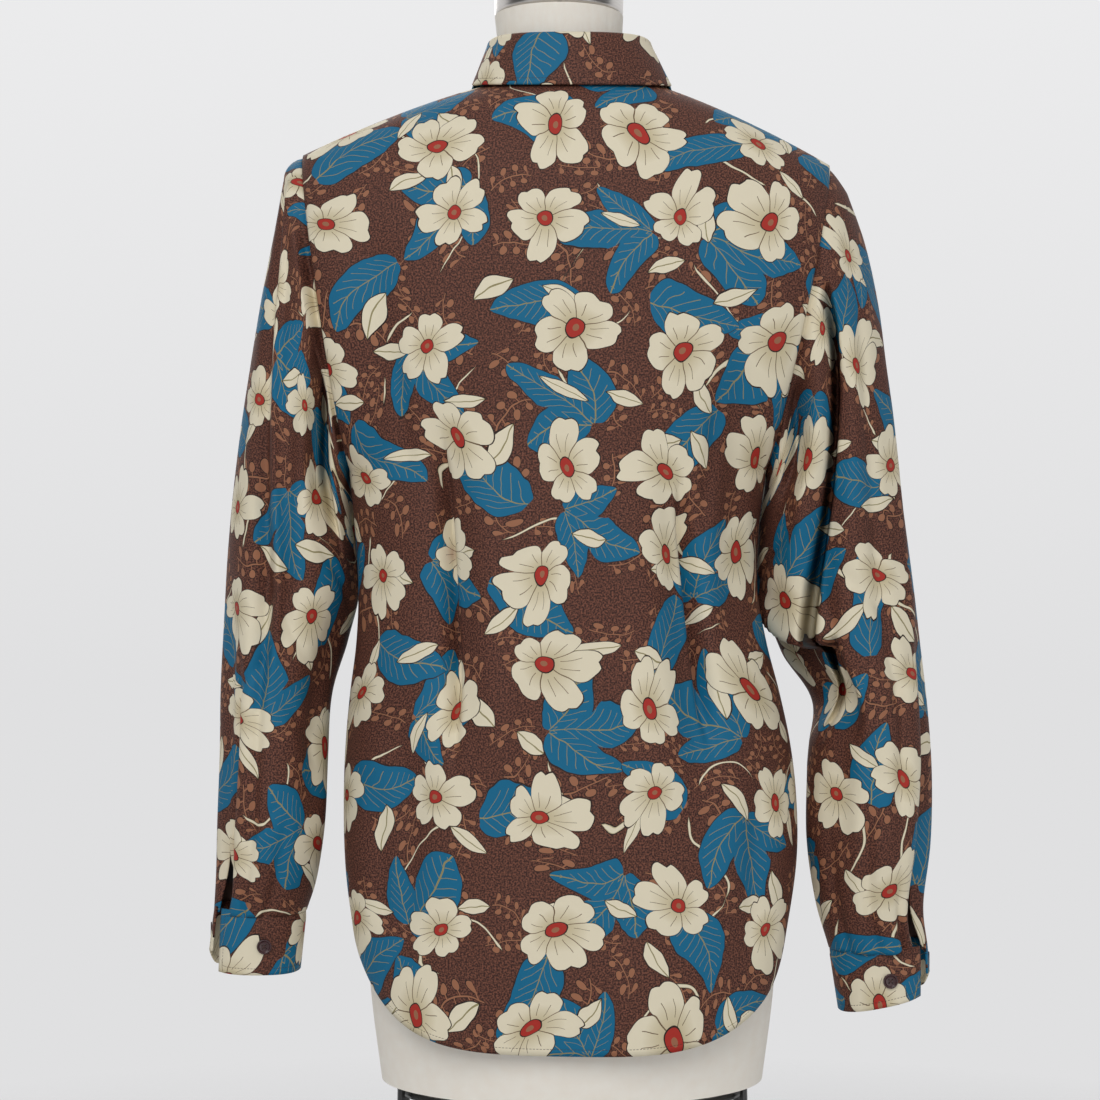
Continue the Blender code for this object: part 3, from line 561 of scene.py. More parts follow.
def body_point(face, across, level, inward=0.0):
    """Point of the body. face is 1 for the back and -1 for the front, across runs from -1 at the wearer's right
    seam to 1 at the left, and level from 0 at the hem to 3 at the neck."""
    side = 1 if across >= 0 else -1
    share = abs(across)
    square = BACK_SQUARE if face > 0 else FRONT_SQUARE
    wrap = math.pi / 2
    seam_y = face * SEAM / 2
    if level <= 1:
        z = HEM_SIDE_Z + (UNDERARM_Z - HEM_SIDE_Z) * level
        half = from_table(BODY_ROWS, BODY_COLUMNS, z, "left" if side > 0 else "right")
        edge = Vector((side * half, seam_y, z))
        depth = from_table(BODY_ROWS, BODY_COLUMNS, z, "back" if face > 0 else "front")
        centre = Vector((0, face * depth, z))
        lift = 0.0
    else:
        if level <= 2:
            edge = armhole(level, side)
            edge.y = face * max(edge.y, SEAM / 2)
            wrap -= ARMHOLE_FLATTENING * math.sin(math.pi * (level - 1))
        else:
            tip_x, tip_z = SHOULDER[side]
            climb = level - 2
            bow = SHOULDER_BOW * 4 * climb * (1 - climb)
            edge = Vector((tip_x + (side * NECK_SIDE[0] - tip_x) * climb, seam_y,
                           tip_z + (NECK_SIDE[1] - tip_z) * climb + bow))
        name = "back" if face > 0 else "front"
        centre = Vector((0, from_table(CENTRE_ROWS, CENTRE_COLUMNS, level, name + "_y"),
                         from_table(CENTRE_ROWS, CENTRE_COLUMNS, level, name + "_z")))
        lift = 12.0 * ramp(1.3, 2.2, level)
    angle = share * wrap
    along = (math.sin(angle) / math.sin(wrap)) ** square
    rise = max((math.cos(angle) - math.cos(wrap)) / (1 - math.cos(wrap)), 0.0) ** square
    point = Vector((edge.x * along, edge.y + (centre.y - edge.y) * rise,
                    edge.z + (centre.z - edge.z) * rise ** ROW_SAG))
    if level <= 1:
        drop = HEM_DROP_BACK if face > 0 else HEM_DROP_FRONT
        fade = 1 - ramp(HEM_SIDE_Z, HEM_STRAIGHTENS_Z, edge.z)
        point.z -= drop * (1 - along ** 4) ** 0.6 * fade
    out = Vector((point.x / edge.x ** 2, point.y / centre.y ** 2, lift)).normalized()
    calm = 1 - share ** 6
    folds = BACK_FOLDS if face > 0 else FRONT_FOLDS
    return point - out * (inward + calm * body_folds(point.x, point.z, folds))


def body_level(v):
    """Level of a body row: the hem to the underarm, the armhole and the shoulder each have their share of rows."""
    for share, level in ((0.44, 0), (0.39, 1), (0.17, 2)):
        if v <= share or level == 2:
            return level + min(v / share, 1.0)
        v -= share


def seam_dip(gap):
    """The slight hollow beside a sewn seam, by the distance to it."""
    return 0.0006 * math.exp(-((gap / 0.0035) ** 2)) + 0.0005 * math.exp(-((gap / 0.011) ** 2))


def hem_wave(x, level):
    """The free hem swings in and out a little."""
    return 0.0022 * (1 - ramp(0.0, 0.45, level)) * (math.sin(38 * x + 1.0) + 0.6 * math.sin(71 * x))


def worn_point(face, across, level, wave_from):
    """Point of the body with the hollows beside its seams and the swing of its hem."""
    calm = 1 - abs(across) ** 6
    armhole_dip = seam_dip((1 - abs(across)) * HALF_WIDTH) * ramp(0.97, 1.02, level)
    neck_dip = seam_dip((3 - level) * SHOULDER_LENGTH)
    wave = calm * hem_wave(across * HALF_WIDTH + wave_from, level)
    return body_point(face, across, level, armhole_dip + neck_dip + wave)


def back_surface(u, v):
    return worn_point(1, 2 * u - 1, body_level(v), 0.0)


back = bent_sheet("back_cloth", back_surface, 196, 168, (0, 0), print_from=(0.5, 0.0), stitched=("low",), faces=1)
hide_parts("back")

# The fronts: cut like the back but open down the middle, the wearer's right over the left, with a straight button
# band of folded cloth stitched down both edges.
BAND_HALF_WIDTH = 0.015


def across_at(face, level, x):
    """The place across a row whose point lies at x, found by halving."""
    low, high = -0.6, 0.6
    for _ in range(30):
        middle = (low + high) / 2
        if body_point(face, middle, level).x < x:
            low = middle
        else:
            high = middle
    return (low + high) / 2


BAND_CUT = {}


def band_cut(level, x):
    key = (round(level, 6), x)
    if key not in BAND_CUT:
        BAND_CUT[key] = across_at(-1, level, x)
    return BAND_CUT[key]


def front_surface(side, u, v):
    level = body_level(v)
    cut = band_cut(level, -BAND_HALF_WIDTH - (SEAM if side < 0 else 0.0))
    across = cut + (side - cut) * (u if side > 0 else 1 - u)
    return worn_point(-1, across, level, 0.5)


def band_surface(u, v):
    level = body_level(v)
    x = BAND_HALF_WIDTH * (2 * u - 1)
    return body_point(-1, band_cut(level, x), level, -BAND_CLOTH - SEAM)


for name, side in (("front_left", 1), ("front_right", -1)):
    front = bent_sheet(name + "_cloth", lambda u, v, s=side: front_surface(s, u, v), 64, 168, (0, 0),
                       print_from=(0.0 if side > 0 else 1.0, 0.0), print_shift=(0.41, 0.23), stitched=("low",),
                       faces=-1)
    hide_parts(name)
band = bent_sheet("front_band_cloth", band_surface, 10, 168, (0, 0), print_from=(0.5, 0.0),
                  print_shift=(0.41, 0.23), stitched=("first", "last"), doubled=True)
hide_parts("front_band")

# The sleeves: one piece each, set into a dropped armhole and hanging in deep pressed folds, slit above the cuff.
# Rows: x and z of the outer and the inner edge, half depth and middle y
SLEEVE_ROWS = {1: in_metres(
    (222.5, 1088, 172.5, 854.5, 73.5, -3), (230, 1048, 172.2, 848, 75, -7), (240, 1000, 171.2, 840, 76.5, -11),
    (249, 950, 170, 828, 76.5, -15), (257.5, 898, 168.5, 812, 75.5, -18), (264.2, 846, 167.2, 790, 73.5, -20),
    (268.8, 796, 167, 764, 70.5, -20), (271.5, 745, 175, 730, 66.5, -17), (273.5, 695, 185, 690, 62, -12),
    (273.5, 642, 186.2, 642, 58, -6), (274.5, 592, 188, 592, 52, 0), (275.5, 553, 195, 553, 44, 0),
    (277.2, 521.3, 205.5, 521.3, 35, 0),
), -1: in_metres(
    (-212.5, 1076.5, -150.5, 854, 73.5, -3), (-227, 1037, -150, 846, 75.5, -7),
    (-238, 989, -148.4, 836, 77.5, -11), (-245, 938, -146.9, 823, 78.5, -15), (-252, 887, -145.9, 806, 78, -18),
    (-258.5, 834, -145.2, 785, 76.5, -20), (-265.5, 782, -147.5, 758, 74, -20),
    (-271.5, 730, -162, 718, 70, -17), (-277, 678, -184.5, 680, 65, -12), (-279.5, 626, -182.2, 630, 60, -6),
    (-277.5, 574, -181, 578, 54, 0), (-272, 526, -188, 531, 45, 0), (-275.5, 492.5, -199, 492.5, 36, 0),
)}
# Folds: the shares of the sleeve's length where each starts and ends, its angle from the outer edge towards the back
# at its start, middle and end (degrees), its depth (inward is positive) and its width (degrees)
SLEEVE_FOLDS = {1: (
    (-0.1, 0.46, 112, 118, 126, 0.02, 17), (0.02, 0.48, 118, 127, 142, 0.03, 5.5),
    (-0.06, 0.72, 24, 72, 92, -0.006, 5), (-0.04, 0.74, 8, 58, 80, 0.011, 9),
    (0.1, 0.66, 88, 98, 104, 0.004, 8), (0.62, 1.1, 57, 43, 31, 0.014, 6), (0.52, 1.1, 34, 34, 34, 0.008, 15),
    (0.5, 0.9, 150, 146, 140, 0.007, 18), (0.56, 0.98, 86, 78, 72, 0.005, 7),
    (0.84, 1.12, 50, 50, 50, 0.004, 4), (0.86, 1.12, 74, 74, 74, 0.0035, 4),
    (0.8, 1.1, 112, 106, 104, 0.004, 7), (-0.05, 0.5, 250, 244, 236, 0.016, 20),
    (0.05, 0.46, 243, 240, 232, 0.008, 7), (0.25, 0.95, 292, 290, 290, 0.009, 14),
    (0.62, 0.98, 198, 194, 190, 0.006, 20), (0.7, 1.1, 262, 268, 272, 0.005, 8),
    (0.86, 1.12, 318, 318, 318, 0.0035, 5),
), -1: (
    (-0.1, 0.38, 118, 124, 136, 0.018, 15), (0.04, 0.36, 126, 132, 146, 0.01, 6),
    (0.03, 0.75, 77, 99, 157, 0.064, 4.4), (0.08, 0.7, 78, 96, 132, 0.012, 13),
    (0.16, 0.6, 112, 122, 136, -0.004, 9), (0.06, 0.9, 50, 62, 70, 0.005, 8),
    (0.2, 0.88, 26, 36, 44, -0.004, 9), (0.56, 1.1, 30, 33, 36, 0.01, 14), (0.84, 1.12, 66, 62, 60, 0.007, 5),
    (0.86, 1.12, 46, 46, 46, 0.0035, 4), (0.62, 0.95, 128, 126, 124, 0.006, 16),
    (0.74, 1.1, 100, 98, 96, 0.0045, 7), (0.76, 1.1, 142, 136, 130, 0.0035, 8),
    (-0.05, 0.52, 252, 246, 240, 0.016, 20), (0.04, 0.46, 246, 240, 236, 0.008, 7),
    (0.2, 0.9, 290, 293, 296, 0.01, 16), (0.6, 0.96, 215, 210, 205, 0.006, 20),
    (0.72, 1.1, 262, 268, 270, 0.005, 8), (0.86, 1.12, 322, 322, 322, 0.0035, 5),
)}
# Short slanting creases of the elbow: angle and share of the middle, slant, reach, depth and width (share)
ELBOW_CREASES = {1: (
    (100, 0.6, 0.002, 26, 0.003, 0.014), (70, 0.67, -0.0016, 22, 0.0025, 0.012),
    (130, 0.74, 0.0014, 24, 0.0025, 0.012), (85, 0.84, -0.001, 20, 0.002, 0.01),
    (145, 0.52, 0.0022, 22, 0.003, 0.013), (280, 0.58, 0.0018, 34, 0.0035, 0.017),
    (250, 0.68, -0.0014, 30, 0.003, 0.015), (300, 0.78, 0.0012, 28, 0.0025, 0.013),
), -1: (
    (75, 0.55, -0.002, 24, 0.003, 0.014), (60, 0.66, 0.0016, 24, 0.0025, 0.012),
    (95, 0.76, -0.0014, 22, 0.0025, 0.012), (110, 0.85, 0.0012, 22, 0.0022, 0.011),
    (150, 0.44, 0.002, 20, 0.003, 0.012), (270, 0.56, -0.0018, 34, 0.0035, 0.017),
    (245, 0.66, 0.0014, 30, 0.003, 0.015), (290, 0.77, -0.0012, 28, 0.0025, 0.013),
)}
# The right elbow's inner fold hangs over the cloth below it and ends in a round tip.
OVERHANG_ANGLE = 131
OVERHANG_SHARE = 0.604
OVERHANG_DEPTH = 0.024
# A fold deeper than DEEP_FOLD is tucked straight to the front, and the right sleeve's leans outwards as it goes in.
DEEP_FOLD = 0.02
RIGHT_FOLD_LEAN = 0.16
# How squarely each sleeve head leaves the shoulder, and how far the cloth falls in just past the armhole's back seam.
HEAD_ROUNDING = {1: 1.0, -1: 0.1}
HEAD_TUCK = 0.0012
SEAM_FALL = {1: 0.014, -1: 0.006}
SEAM_FALL_SHARE = 0.014
SLEEVE_LENGTH = 0.6
SLIT_ANGLE = math.radians(31)
SLIT_STARTS = 0.88
SLIT_WIDTH_AT_CUFF = math.radians(17)


def angle_between(degrees, middle):
    return (degrees - middle + 180) % 360 - 180


def turn_from_slit(turn_share, gap):
    """Angle at a share of the way round the arm, from one edge of the slit to the other."""
    return SLIT_ANGLE + gap / 2 + turn_share * (math.tau - gap)


def cuff_share(turn):
    return (turn - SLIT_ANGLE - SLIT_WIDTH_AT_CUFF / 2) / (math.tau - SLIT_WIDTH_AT_CUFF)


def sleeve_folds(side, turn, share):
    """How deep the cloth lies inside the sleeve's outline, and how far a deep fold tucks it away towards the front."""
    depth = tucked = 0.0
    degrees = math.degrees(turn) % 360
    for start, end, first, middle, last, deep, width in SLEEVE_FOLDS[side]:
        shown = ramp(start, start + 0.16, share) * (1 - ramp(end - 0.16, end, share))
        if shown:
            s = min(max((share - start) / (end - start), 0.0), 1.0)
            line = first * (1 - s) * (1 - 2 * s) + middle * 4 * s * (1 - s) + last * s * (2 * s - 1)
            off = abs(angle_between(degrees, line)) / width
            if deep > DEEP_FOLD:
                tucked += deep * shown * math.exp(-off ** 4)
            else:
                depth += deep * shown * math.exp(-off * off)
    for middle, place, slant, reach, deep, width in ELBOW_CREASES[side]:
        away = angle_between(degrees, middle)
        if abs(away) < 2 * reach:
            off = (share - place - slant * away) / width
            depth += deep * math.exp(-((away / reach) ** 2) - off * off)
    if side < 0 and 100 < degrees < 210:
        tip = OVERHANG_SHARE - 0.05 * ((degrees - OVERHANG_ANGLE) / 45) ** 2
        under = ramp(tip, tip + 0.009, share) * (1 - ramp(0.65, 0.74, share))
        full = 0.3 * ramp(tip - 0.07, tip - 0.012, share) * (1 - ramp(tip - 0.006, tip + 0.004, share))
        depth += OVERHANG_DEPTH * (under - full) * ramp(104, 116, degrees) * (1 - ramp(156, 208, degrees))
    return depth, tucked


def armhole_ring(side, turn, inward=0.0):
    """The armhole seen as a ring: angle 0 is the shoulder tip, and a quarter turn on is the back."""
    tip_x, tip_z = SHOULDER[side]
    under_x = UNDERARM[side]
    half = (tip_z - UNDERARM_Z) / 2
    z = (tip_z + UNDERARM_Z) / 2 + (half - inward) * math.cos(turn)
    x = under_x + (tip_x - under_x) * (z - UNDERARM_Z) / (tip_z - UNDERARM_Z)
    return Vector((x + side * SEAM, (ARMHOLE_HALF_DEPTH - inward) * math.sin(turn), z))


def section_point(outer, inner, half_depth, mid_y, angle, deep):
    """Point on an oval section between its outer and its inner end, deep inside its outline."""
    middle = (outer + inner) / 2
    half = (outer - inner) / 2
    point = middle + half.normalized() * (max(half.length - deep, 0.001) * math.cos(angle))
    point.y += mid_y + max(half_depth - deep, 0.001) * math.sin(angle)
    return point


def sleeve_surface(side, turn_share, share, folded=True):
    rows = SLEEVE_ROWS[side]
    gap = SLIT_WIDTH_AT_CUFF * ramp(SLIT_STARTS, 1.0, share)
    turn = turn_from_slit(turn_share, gap)
    place = share * len(rows)
    dip = seam_dip(share * SLEEVE_LENGTH)
    at_seam = armhole_ring(side, turn, dip + SEAM)
    at_seam.x -= side * HEAD_TUCK
    if place <= 0:
        return at_seam
    steps = range(1, len(rows) + 1)
    outer_x, outer_z, inner_x, inner_z, half_depth, mid_y = (smooth(steps, values, max(place, 1.0))
                                                             for values in zip(*rows))
    deep, tucked = sleeve_folds(side, turn, share) if folded else (0.0, 0.0)
    hanging = section_point(Vector((outer_x, 0, outer_z)), Vector((inner_x, 0, inner_z)), half_depth, mid_y, turn,
                            dip + deep)
    hanging.y -= tucked
    if side < 0:
        hanging.x -= tucked * RIGHT_FOLD_LEAN
    t = min(place, 1.0)
    point = at_seam.lerp(hanging, t)
    rounding = HEAD_ROUNDING[side]
    point.x = at_seam.x + (hanging.x - at_seam.x) * (t + rounding * t * (1 - t))
    point.z = at_seam.z + (hanging.z - at_seam.z) * t ** (1 + 0.3 * rounding)
    if folded:
        away = share / SEAM_FALL_SHARE
        degrees = math.degrees(turn)
        behind = ramp(40, 85, degrees) * (1 - ramp(130, 165, degrees))
        point.y -= SEAM_FALL[side] * behind * away * math.exp(1 - away)
    return point


# The cuffs: straight bands worn open, the button end lying behind and the pointed buttonhole end hanging outside.
# Each cuff's height, middle and half width at its top and low edge, its tilt and its button's angle.
CUFF = {1: (0.521, 0.477, 0.2414, 0.2445, 0.0359, 0.0345, 0.001, 104),
        -1: (0.4922, 0.453, -0.2373, -0.2405, 0.0383, 0.0345, 0.008, 86)}
CUFF_HALF_DEPTH = 0.0335
CUFF_FLARE = 0.0015
CUFF_TUCK = 0.005
CUFF_POINT = 0.014


def cuff_surface(side, turn_share, share, inward=0.0):
    top_z, low_z, top_x, low_x, top_half, low_half, tilt, _ = CUFF[side]
    turn = turn_from_slit(turn_share, SLIT_WIDTH_AT_CUFF)
    middle_x = top_x + (low_x - top_x) * share
    near_end = ramp(0.87, 0.96, turn_share)
    drop = (low_z - top_z + CUFF_POINT * near_end + tilt * math.cos(turn)) * share
    tucked = 1 - ramp(0.0, 0.12, share)
    inward += 0.0009 * tucked
    drop += CUFF_TUCK * tucked
    half = top_half + (low_half - top_half) * share - inward
    wave = 0.0006 * math.sin(5 * turn + 2) * share
    return Vector((middle_x + side * ((half + wave) * math.cos(turn) + CUFF_FLARE * share * near_end),
                   (CUFF_HALF_DEPTH - inward + wave) * math.sin(turn), top_z - SEAM + drop))


for name, side, shift in (("left", 1, (0.17, 0.66)), ("right", -1, (0.83, 0.31))):
    axis = (0.225 * side, -0.01)
    sleeve = bent_sheet("sleeve_" + name + "_cloth", lambda u, v, s=side: sleeve_surface(s, u, v), 240, 164, axis,
                        print_from=(0.0, 1.0), print_shift=shift, seam_at=0.414,
                        unfolded=lambda u, v, s=side: sleeve_surface(s, u, v, folded=False))
    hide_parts("sleeve_" + name)
    cuff = bent_sheet("cuff_" + name + "_cloth", lambda u, v, s=side: cuff_surface(s, u, v), 72, 14,
                      (0.242 * side, 0), print_from=(0.0, 0.0), print_shift=shift,
                      stitched=("first", "last", "low", "top"), doubled=True)
    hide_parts("cuff_" + name)

# The collar: a stand round the neck and a fall turned down over it, both of doubled cloth, stitched near the edge.
STAND_HEIGHT = 0.03
STAND_TOP_HALF_WIDTH = 0.0592
STAND_TOP_SHIFT = 0.002
STAND_TOP_BACK_Y = 0.056
STAND_TOP_FRONT_Y = -0.069
FALL_ROLL = 0.0032
COLLAR_OPENING = 0.0008
FALL_COLUMNS = ("turn", "across", "level", "clear")
FALL_ROWS = (
    (0, 0, 2.9, 0.001), (0.25, 0.5, 2.9, 0.0012), (0.42, 0.8, 2.92, 0.0018), (0.5, 1, 2.945, 0.003),
    (0.58, 1.2, 2.85, 0.0034), (0.7, 1.46, 2.62, 0.0026), (0.85, 1.66, 2.4, 0.0026), (1, 1.76, 2.06, 0.0026),
)


def collar_turn(u):
    """Turn at a share of the collar's length, from one front end round to the other."""
    return (0.5 + COLLAR_OPENING + u * (1 - 2 * COLLAR_OPENING)) % 1.0


def collar_ring(turn):
    """Neckline point at a turn from centre back through the wearer's left, a quarter turn on."""
    turn %= 1.0
    if turn <= 0.25:
        return body_point(1, turn * 4, 3)
    if turn < 0.75:
        return body_point(-1, 2 - turn * 4, 3)
    return body_point(1, turn * 4 - 4, 3)


def stand_top(turn, outward=0.0):
    """Top edge of the stand: level at the back and falling towards the front."""
    angle = math.tau * turn
    depth = STAND_TOP_BACK_Y if math.cos(angle) > 0 else -STAND_TOP_FRONT_Y
    return Vector(((STAND_TOP_HALF_WIDTH + outward) * math.sin(angle) + STAND_TOP_SHIFT,
                   (depth + outward) * math.cos(angle),
                   collar_ring(turn).z + STAND_HEIGHT + 0.006 * (1 + math.cos(angle)) / 2))


def stand_surface(u, share):
    turn = collar_turn(u)
    point = collar_ring(turn).lerp(stand_top(turn), share)
    point -= Vector((point.x, point.y, 0)).normalized() * 0.0004
    point.z += (CLOTH * 0.6 + SEAM) * (1 - share)
    return point


def fall_edge(turn, clear):
    half_turn = min(turn, 1 - turn) * 2
    side = 1 if turn <= 0.5 else -1
    across, level, away = (from_table(FALL_ROWS, FALL_COLUMNS, half_turn, name) for name in FALL_COLUMNS[1:])
    if across <= 1:
        return body_point(1, side * across, level, -away - clear)
    return body_point(-1, side * (2 - across), level, -away - clear)


def fall_surface(u, share):
    """Over the roll first, then down to the edge, a little hollow on the way."""
    turn = collar_turn(u)
    over = BAND_CLOTH
    roll_top = stand_top(turn, FALL_ROLL * 0.5)
    roll_top.z += SEAM + over + 0.0004
    roll_out = stand_top(turn, FALL_ROLL + over)
    roll_out.z -= 0.002
    inner = stand_top(turn, -0.0004)
    inner.z += SEAM + over
    edge = fall_edge(turn, over)
    if share < 0.12:
        return inner.lerp(roll_top, share / 0.12)
    if share < 0.25:
        t = (share - 0.12) / 0.13
        lift = 0.0008 * math.sin(math.pi * t)
        return roll_top.lerp(roll_out, t) + Vector((roll_out.x, roll_out.y, 0.03)).normalized() * lift
    t = (share - 0.25) / 0.75
    return roll_out.lerp(edge, t)


stand = bent_sheet("collar_stand_cloth", stand_surface, 120, 8, (0, 0), print_shift=(0.52, 0.05), doubled=True)
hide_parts("collar_stand")
fall = bent_sheet("collar_fall_cloth", fall_surface, 120, 26, (0, 0), print_shift=(0.52, 0.05),
                  stitched=("first", "last", "top"), doubled=True)
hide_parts("collar_fall")

# The buttons: small polished dark red-brown ones, dished, with four holes and a cross of thread.
BUTTON_RADIUS = 0.0056
BUTTON_THICKNESS = 0.0022
HOLE_RADIUS = 0.00062
HOLE_SPREAD = 0.00125
BUTTONHOLE_LENGTH = 0.0135
BUTTONHOLE_FROM_END = math.radians(20)
FRONT_BUTTON_LEVELS = (0.2, 0.46, 0.72, 0.98, 1.38, 1.82, 2.42)

button_gloss, shader, place = new_material("button_gloss")
cloud = place.noise(260, 2, flat=False)
cloud.over(ink(66, 24, 28), ink(40, 14, 18)).feed(shader, "Base Color")
(0.12 + cloud * 0.1).feed(shader, "Roughness")
button_thread, shader, place = new_material("button_thread", plain={"Roughness": 0.8})
place.noise(3000, 2, flat=False).over(ink(84, 48, 44), ink(54, 30, 30)).feed(shader, "Base Color")


def drilled_disc():
    """A disc dished towards its middle, with a rounded rim and four holes."""
    bpy.ops.mesh.primitive_cylinder_add(vertices=40, radius=BUTTON_RADIUS, depth=BUTTON_THICKNESS)
    disc = bpy.context.object
    bpy.ops.object.mode_set(mode="EDIT")
    bpy.ops.mesh.select_all(action="DESELECT")
    bpy.ops.object.mode_set(mode="OBJECT")
    for face in disc.data.polygons:
        face.select = face.normal.z > 0.9
    bpy.ops.object.mode_set(mode="EDIT")
    bpy.ops.mesh.inset(thickness=0.0011)
    bpy.ops.mesh.inset(thickness=0.0006)
    bpy.ops.transform.translate(value=(0, 0, -0.0008))
    bpy.ops.object.mode_set(mode="OBJECT")
    modify(disc, "BEVEL", width=0.0004, segments=3)
    for x, y in ((1, 1), (1, -1), (-1, 1), (-1, -1)):
        bpy.ops.mesh.primitive_cylinder_add(vertices=14, radius=HOLE_RADIUS, depth=0.01,
                                            location=(x * HOLE_SPREAD, y * HOLE_SPREAD, 0))
        drill = bpy.context.object
        modify(disc, "BOOLEAN", object=drill, solver="EXACT")
        bpy.data.objects.remove(drill, do_unlink=True)
    disc.data.materials.append(button_gloss)
    disc.select_set(True)
    bpy.ops.object.shade_smooth_by_angle(angle=SHARP_ABOVE)
    return disc


def thread_cross():
    """Two bars of thread between opposite holes."""
    bars = []
    for turn in (45, 135):
        bpy.ops.mesh.primitive_cylinder_add(
            vertices=8, radius=0.00035, depth=HOLE_SPREAD * 2.83, location=(0, 0, 0.00062),
            rotation=(math.radians(90), 0, math.radians(turn)))
        bars.append(bpy.context.object)
    for bar in bars:
        bar.select_set(True)
    bpy.ops.object.join()
    cross = bpy.context.object
    bpy.ops.object.transform_apply(location=True, rotation=True, scale=True)
    cross.data.materials.append(button_thread)
    bpy.ops.object.shade_smooth()
    return cross


def buttonhole_ring():
    """A ring of close stitches pulled long, round a buttonhole's slit."""
    bpy.ops.mesh.primitive_torus_add(major_segments=36, minor_segments=8, major_radius=0.001, minor_radius=0.0006)
    ring = bpy.context.object
    for vert in ring.data.vertices:
        vert.co.y += math.copysign(BUTTONHOLE_LENGTH / 2 - 0.0016, vert.co.y)
        vert.co.z *= 0.6
    ring.data.materials.append(button_thread)
    bpy.ops.object.shade_smooth()
    return ring


def sewn_on(name, model, middle, out, lift):
    """A copy of the model with its own mesh, laid at middle, upright, facing out and lifted from the cloth."""
    mesh = model.data.copy()
    right = Vector((0, 0, 1)).cross(out).normalized()
    turn = Matrix((right, out.cross(right), out)).transposed()
    for vert in mesh.vertices:
        vert.co = middle + turn @ vert.co + out * lift
    piece = bpy.data.objects.new(name, mesh)
    scene.collection.objects.link(piece)
    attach(piece, "root")
    return piece


disc_model, cross_model, ring_model = drilled_disc(), thread_cross(), buttonhole_ring()
button_places = {}
for number, level in enumerate(FRONT_BUTTON_LEVELS, 1):
    lift = BAND_CLOTH + SEAM
    centre = across_at(-1, level, 0.0)
    middle = body_point(-1, centre, level, -lift)
    up = (body_point(-1, centre, level + 0.02, -lift) - middle).normalized()
    button_places[f"button_front_{number}"] = (middle, Vector((1, 0, 0)).cross(up).normalized())
for name, side in (("left", 1), ("right", -1)):
    angle = math.radians(CUFF[side][-1])
    button_places["button_cuff_" + name] = (cuff_surface(side, cuff_share(angle), 0.5),
                                            Vector((side * math.cos(angle), math.sin(angle), 0)))
for name, (middle, out) in button_places.items():
    disc = sewn_on(name + "_disc", disc_model, middle, out, BUTTON_THICKNESS / 2 + SEAM)
    sewn_on(name + "_thread", cross_model, middle, out, BUTTON_THICKNESS / 2 + SEAM)
    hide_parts(name)
    if "front" in name:
        sewn_on(name + "_hole", ring_model, middle, out, 0.0002)
for name, side in (("left", 1), ("right", -1)):
    turn = SLIT_ANGLE - SLIT_WIDTH_AT_CUFF / 2 - BUTTONHOLE_FROM_END
    sewn_on(f"buttonhole_cuff_{name}", ring_model, cuff_surface(side, cuff_share(turn + math.tau), 0.5),
            Vector((side * math.cos(turn), math.sin(turn), 0)), 0.0002)
for model in (disc_model, cross_model, ring_model):
    bpy.data.objects.remove(model, do_unlink=True)

# The dress form: a padded torso under a tight cream linen cover sewn from long panels, closed below by a flat board.
FORM_ROWS = in_metres(
    (393, 147, 96, 90, 0, 0), (460, 155.5, 103, 95, 0, 0), (530, 159.5, 106, 98.5, 0, 0),
    (600, 156, 105, 99, 0, 0), (680, 136, 92, 91, 0, 0), (760, 113, 79, 85, 0, 0), (840, 124, 85, 100, 0, 0),
    (920, 137, 91, 112, 0, 0), (990, 147, 91, 103, 0, 0), (1040, 156, 85, 89, 0, 0), (1072, 160, 76, 70, 0, 0),
    (1090, 156, 69, 60, 0, 0), (1103, 148, 63, 56, 0, 0), (1115, 133, 58, 54, 0, 0), (1127, 109, 54, 52, 0, 0),
    (1138, 86, 50, 50, 1, -1), (1147, 69, 47, 49, 2.5, -2), (1156, 56, 45, 48, 4.5, -4),
    (1168, 51, 46, 48, 6.5, -6), (1190, 48.5, 48.5, 48.5, 9, -9), (1215, 50, 50, 50, 10, -10),
)
FORM_NAMES = ("z", "half", "back", "front", "mid_x", "mid_y")
PANEL_SEAMS = (90, 41, 139, 215, 270, 325)
FORM_HEIGHT = 0.84
YARNS = 7000


def torso_surface(u, v):
    z = FORM_ROWS[0][0] + (FORM_ROWS[-1][0] - FORM_ROWS[0][0]) * v
    half, back_depth, front_depth, mid_x, mid_y = (from_table(FORM_ROWS, FORM_NAMES, z, name)
                                                   for name in FORM_NAMES[1:])
    angle = math.tau * u
    depth = back_depth if math.sin(angle) > 0 else front_depth
    groove = sum(0.0008 * math.exp(-((angle_between(math.degrees(angle), seam) / 1.2) ** 2)) for seam in PANEL_SEAMS)
    return Vector((mid_x + (half - groove) * math.cos(angle), mid_y + (depth - groove) * math.sin(angle), z))


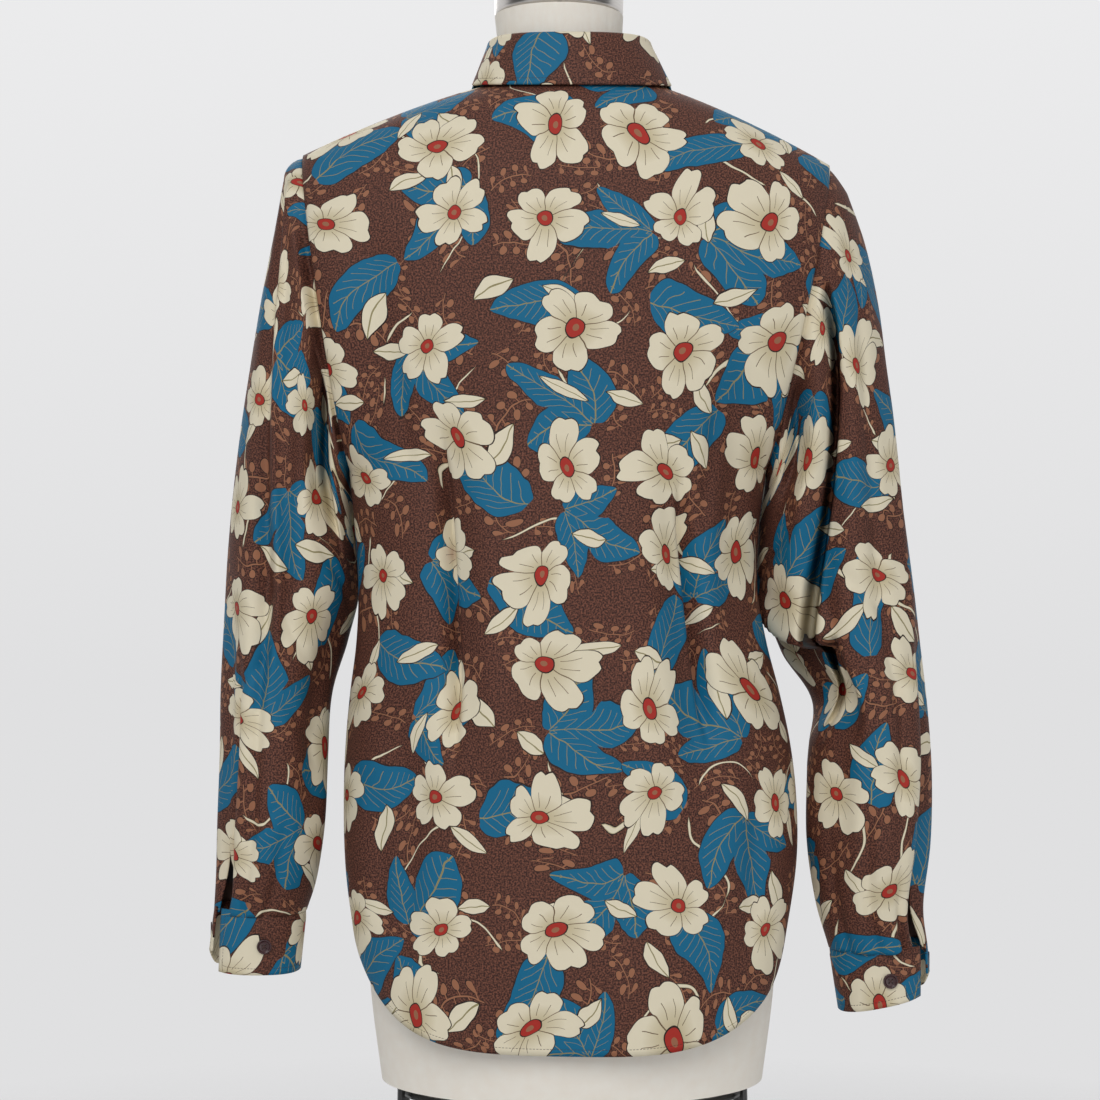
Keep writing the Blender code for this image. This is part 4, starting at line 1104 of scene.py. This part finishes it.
LINEN, shader, uv = new_material("form_linen_cover", "cloth", {"Roughness": 0.9})
weft, warp, _ = uv.parts()
slub = uv.noise(90, 4)
yarn = ((weft * YARNS).sine() * (warp * YARNS).sine()) * 0.5 + 0.5
(yarn * 0.35 + slub * 0.65).over(ink(246, 236, 222), ink(255, 252, 243)).feed(shader, "Base Color")
uv.take(uv.node("Bump", {}, {"Strength": 0.3, "Distance": 0.0003, "Height": yarn})).feed(shader, "Normal")
torso, _ = bent_grid("torso_cover", torso_surface, 144, 96)
torso.data.uv_layers[0].name = "cloth"
for loop in torso.data.uv_layers[0].data:
    loop.uv = (loop.uv[0] * FORM_HEIGHT, loop.uv[1] * FORM_HEIGHT)
weld(torso)
bpy.ops.object.mode_set(mode="EDIT")
bpy.ops.mesh.select_all(action="DESELECT")
bpy.ops.mesh.select_non_manifold()
bpy.ops.mesh.edge_face_add()
bpy.ops.mesh.select_all(action="SELECT")
bpy.ops.mesh.normals_make_consistent(inside=False)
bpy.ops.object.mode_set(mode="OBJECT")
bpy.ops.object.shade_smooth_by_angle(angle=SHARP_ABOVE)
torso.data.materials.append(LINEN)
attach(torso, "root")
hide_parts("form_torso")

# The neck cap: spun steel, brushed round, with a rolled top edge.
steel, shader, place = new_material("brushed_cap", plain={"Metallic": 1.0})
stretched = place.take(place.node("Mapping", {}, {"Vector": place, "Scale": (12, 12, 2600)}))
brush = stretched.noise(1, 3, flat=False)
brush.over(ink(196, 192, 188), ink(232, 228, 224)).feed(shader, "Base Color")
(0.26 + brush * 0.12).feed(shader, "Roughness")
CAP_RADIUS = 0.0502
low, high = (Vector(corner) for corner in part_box("neck_cap"))
bpy.ops.mesh.primitive_cylinder_add(vertices=96, radius=CAP_RADIUS, depth=high.z - low.z,
                                    location=((low.x + high.x) / 2, (low.y + high.y) / 2, (low.z + high.z) / 2))
cap = bpy.context.object
cap.name = cap.data.name = "cap_shell"
modify(cap, "BEVEL", width=0.0035, segments=4)
bpy.ops.object.transform_apply(location=True, rotation=True, scale=True)
bpy.ops.object.shade_smooth_by_angle(angle=SHARP_ABOVE)
cap.data.materials.append(steel)
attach(cap, "root")
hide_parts("neck_cap")

# The cage, pole and foot: black enamelled iron with a little dust and rub.
iron, shader, place = new_material("black_enamel", plain={"Coat Weight": 0.2})
wear = place.noise(35, 5, flat=False)
wear.over(ink(18, 18, 19), ink(42, 41, 41)).feed(shader, "Base Color")
(0.34 + wear * 0.22).feed(shader, "Roughness")
for name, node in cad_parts.items():
    if name.startswith(("hoop", "rod", "pole", "base")):
        for slot in node.material_slots:
            slot.material = iron
